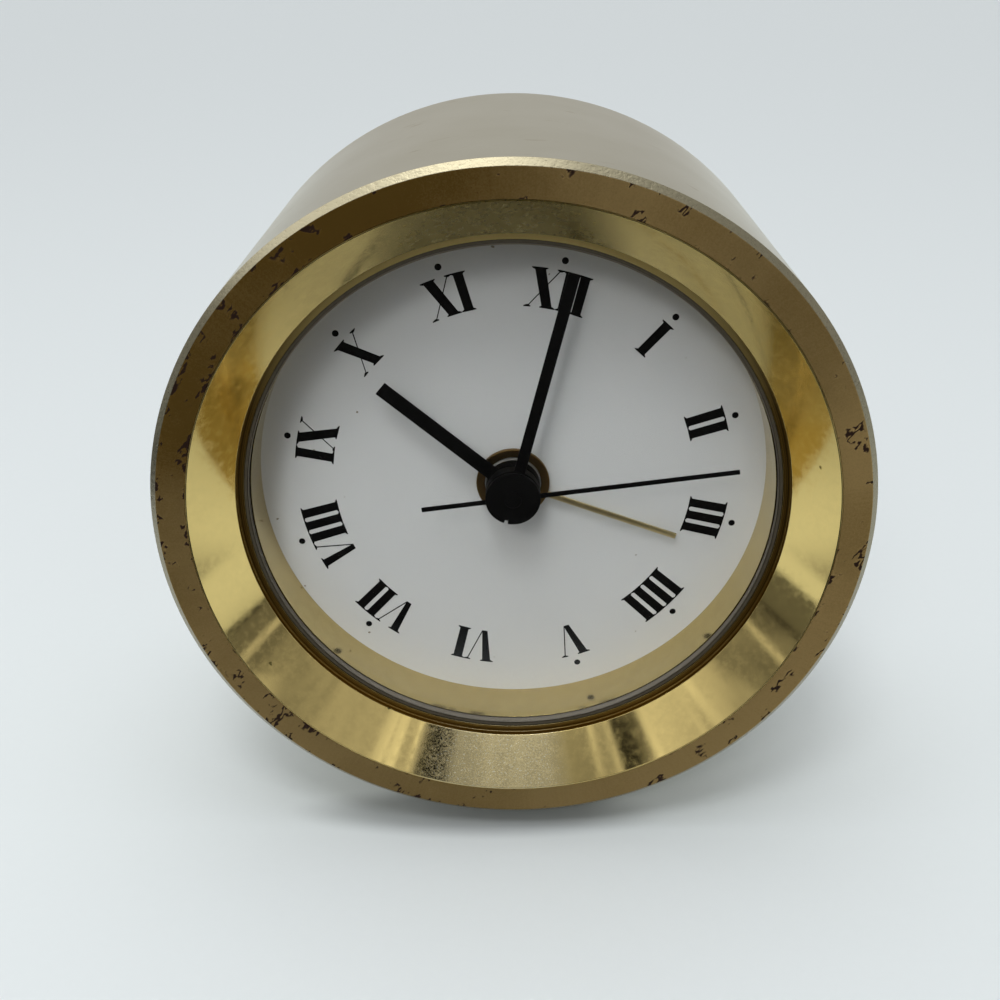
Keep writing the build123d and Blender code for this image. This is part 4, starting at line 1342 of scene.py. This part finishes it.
@finish
def paper_floor(place, colours, stage):
    """Pale paper to the camera; beyond its near and left edges it is painted dark for reflections and in part
    for bounced light, and it has a painted shadow under the front edge.
    """
    across = place.part("X")
    deep = place.part("Y")
    aside = abs(across).rise(stage.paper_gap, 1.25 * stage.paper_gap)
    near = deep.rise(FRONT - stage.paper_near - stage.paper_fade, FRONT - stage.paper_near)
    far = deep.rise(*FLOOR_NEAR)
    left = 1 - across.rise(-stage.paper_left - LEFT_FADE, -stage.paper_left)
    left = left * (1 - deep.rise(*LEFT_FAR))
    pale = (1 - (1 - near) * (1 - aside)) * far * (1 - 0.88 * left)
    # Painted shade: where the camera sees pale paper, reflections see dark paper, and bounced light sees it
    # partly dark.
    diffuse = place.node("LightPath", output="Is Diffuse Ray")
    seen = place.node("LightPath", output="Is Camera Ray") + 0.6 * diffuse
    pale = 1 - (1 - pale) * (1 - seen)
    # Painted shadow: a soft dark patch of paper under the front edge of the case.
    painted_shadow = place.vector("SUBTRACT", PAINTED_SHADOW_MIDDLE).stretched(1 / PAINTED_SHADOW_ACROSS, 1 / PAINTED_SHADOW_DEEP, 0.0)
    painted_shadow = 1 - painted_shadow.vector("LENGTH", output="Value").rise(0.55, 1.15)
    tint = place.noise(900.0, 2.0).mix(toned(colours.floor, 0.985), colours.floor)
    return blended(pale * (1 - 0.42 * painted_shadow), colours.painted_shade_paper, tint, 0.75, Specular_IOR_Level=0.2)


class CLOCK_OT_stage(bpy.types.Operator):
    """Pale floor, soft light and the camera."""

    bl_idname = "clock.stage"
    bl_label = "Stage"

    def execute(self, context):
        stage = context.scene.clock_stage
        self.lay_floor(context.scene.clock_finish, stage)
        self.light_world(stage)
        self.hang_lamp(KEY_LAMP, stage.key)
        self.hang_lamp(TOP_LAMP, stage.top)
        camera = bpy.data.cameras.new("photo_camera")
        camera.lens = stage.lens
        camera.sensor_width = SENSOR_WIDTH
        camera.clip_start = CLIP_START
        holder = put("photo_camera", camera)
        holder.location = stage.place
        holder.rotation_euler = stage.turn
        context.scene.camera = holder
        context.scene.view_settings.view_transform = "Standard"
        return {"FINISHED"}

    def lay_floor(self, colours, stage):
        """One flat sheet that reaches far beyond the picture."""
        reach = FLOOR_REACH
        corners = [(-reach, -reach, 0.0), (reach, -reach, 0.0), (reach, reach, 0.0), (-reach, reach, 0.0)]
        mesh = mesh_of("floor", corners, [(0, 1, 2, 3)], [paper_floor(colours, stage)])
        floor = put("floor", mesh)

    def light_world(self, stage):
        """Soft light from overhead and behind. The camera sees a plain backdrop in its place."""
        world = bpy.data.worlds.new("studio")
        world.use_nodes = True
        world.node_tree.nodes.clear()
        start = Shade(world.node_tree)
        way = start.node("TexCoord", output="Generated")
        level = stage.sky * (self.overhead(way, stage.zenith) + self.around(way))
        light = start.node("Background", None, {"Color": paint(SKY_TINT), "Strength": level})
        plain = start.node("Background", None, {"Color": paint(BACKDROP_TINT), "Strength": 1.0})
        seen = start.node("LightPath", output="Is Camera Ray")
        light = start.node("MixShader", None, {0: seen, 1: light, 2: plain})
        start.node("OutputWorld", None, {"Surface": light})
        bpy.context.scene.world = world

    def overhead(self, way, zenith):
        """Light from above: a bright zenith, and in front a dim box with panes between dark bars."""
        across, up = way.part("X"), way.part("Z")
        front = (-0.25 - way.part("Y")).rise(0.0, 0.25)
        middle = 0.8 * front * (1 - abs(across).rise(0.28, 0.44)) * (1 - up.rise(0.72, 0.84))
        bars = across.band(0.27, 0.30, 0.40, 0.43) + across.band(-0.61, -0.58, -0.48, -0.455)
        bars = front * bars * up.rise(0.6, 0.7)
        box = front * across.band(-0.46, -0.43, 0.30, 0.33)
        panes = way.stretched(1.0, 0.1, 0.1).noise(19.0, 2.0).rise(0.50, 0.68)
        level = up.rise(0.30, 0.66) + zenith * up.rise(0.84, 0.98)
        level = level * (1 + front * (1.15 * panes - 0.18)) * (1.05 - 0.38 * across)
        return level * (1 - 0.9 * middle) * (1 - 0.97 * bars) * (1 - 0.47 * box)

    def around(self, way):
        """Light from the sides: a plain backdrop behind, and a streaked room with a bright sill in front."""
        across, up = way.part("X"), way.part("Z")
        backdrop = way.part("Y").rise(0.1, 0.5)
        streaks = way.stretched(1.0, 1.0, 0.25).noise(9.0, 2.0).rise(0.42, 0.62)
        room = (0.55 + 0.15 * across.rise(-0.3, 0.3)) * (0.55 + 0.9 * streaks)
        room = room * (0.6 + 0.4 * up.rise(0.14, 0.2)) + 0.6 * up.band(0.07, 0.085, 0.10, 0.115)
        return (1 - up.rise(0.30, 0.66)) * (backdrop + (1 - backdrop) * room)

    def hang_lamp(self, lamp, power):
        """A soft round lamp, aimed at the clock and out of sight of the camera and the brass."""
        light = bpy.data.lights.new(lamp.name, "AREA")
        light.shape = "DISK"
        light.size = lamp.width
        light.energy = power
        light.color = lamp.tint
        holder = put(lamp.name, light)
        holder.location = lamp.place
        aim = Vector((0.0, 0.0, AXIS_HEIGHT)) - Vector(lamp.place)
        holder.rotation_euler = aim.to_track_quat("-Z", "Y").to_euler()
        holder.visible_camera = False
        holder.visible_glossy = False


OPERATORS = (
    CLOCK_OT_case,
    CLOCK_OT_bezel,
    CLOCK_OT_glass,
    CLOCK_OT_dial,
    CLOCK_OT_numerals,
    CLOCK_OT_hands,
    CLOCK_OT_feet,
    CLOCK_OT_knobs,
    CLOCK_OT_rear,
    CLOCK_OT_movement,
    CLOCK_OT_stage,
)


class CLOCK_PT_panel(bpy.types.Panel):
    """Buttons that build the clock piece by piece."""

    bl_idname = "CLOCK_PT_panel"
    bl_label = "Brass Desk Clock"
    bl_space_type = "VIEW_3D"
    bl_region_type = "UI"
    bl_category = "Clock"

    def draw(self, context):
        for operator in OPERATORS:
            self.layout.operator(operator.bl_idname)


GROUPS = {"clock_sizes": ClockSizes, "clock_finish": ClockFinish, "clock_stage": ClockStage}


def register():
    for name, group in GROUPS.items():
        bpy.utils.register_class(group)
        setattr(bpy.types.Scene, name, PointerProperty(type=group))
    for operator in OPERATORS:
        bpy.utils.register_class(operator)
    bpy.utils.register_class(CLOCK_PT_panel)


def unregister():
    bpy.utils.unregister_class(CLOCK_PT_panel)
    for operator in reversed(OPERATORS):
        bpy.utils.unregister_class(operator)
    for name, group in GROUPS.items():
        delattr(bpy.types.Scene, name)
        bpy.utils.unregister_class(group)


def main():
    register()
    bpy.ops.clock.case()
    bpy.ops.clock.bezel()
    bpy.ops.clock.glass()
    bpy.ops.clock.dial()
    bpy.ops.clock.numerals()
    bpy.ops.clock.hands()
    bpy.ops.clock.feet()
    bpy.ops.clock.knobs()
    bpy.ops.clock.rear()
    bpy.ops.clock.movement()
    bpy.ops.clock.stage()


if __name__ == "__main__":
    main()
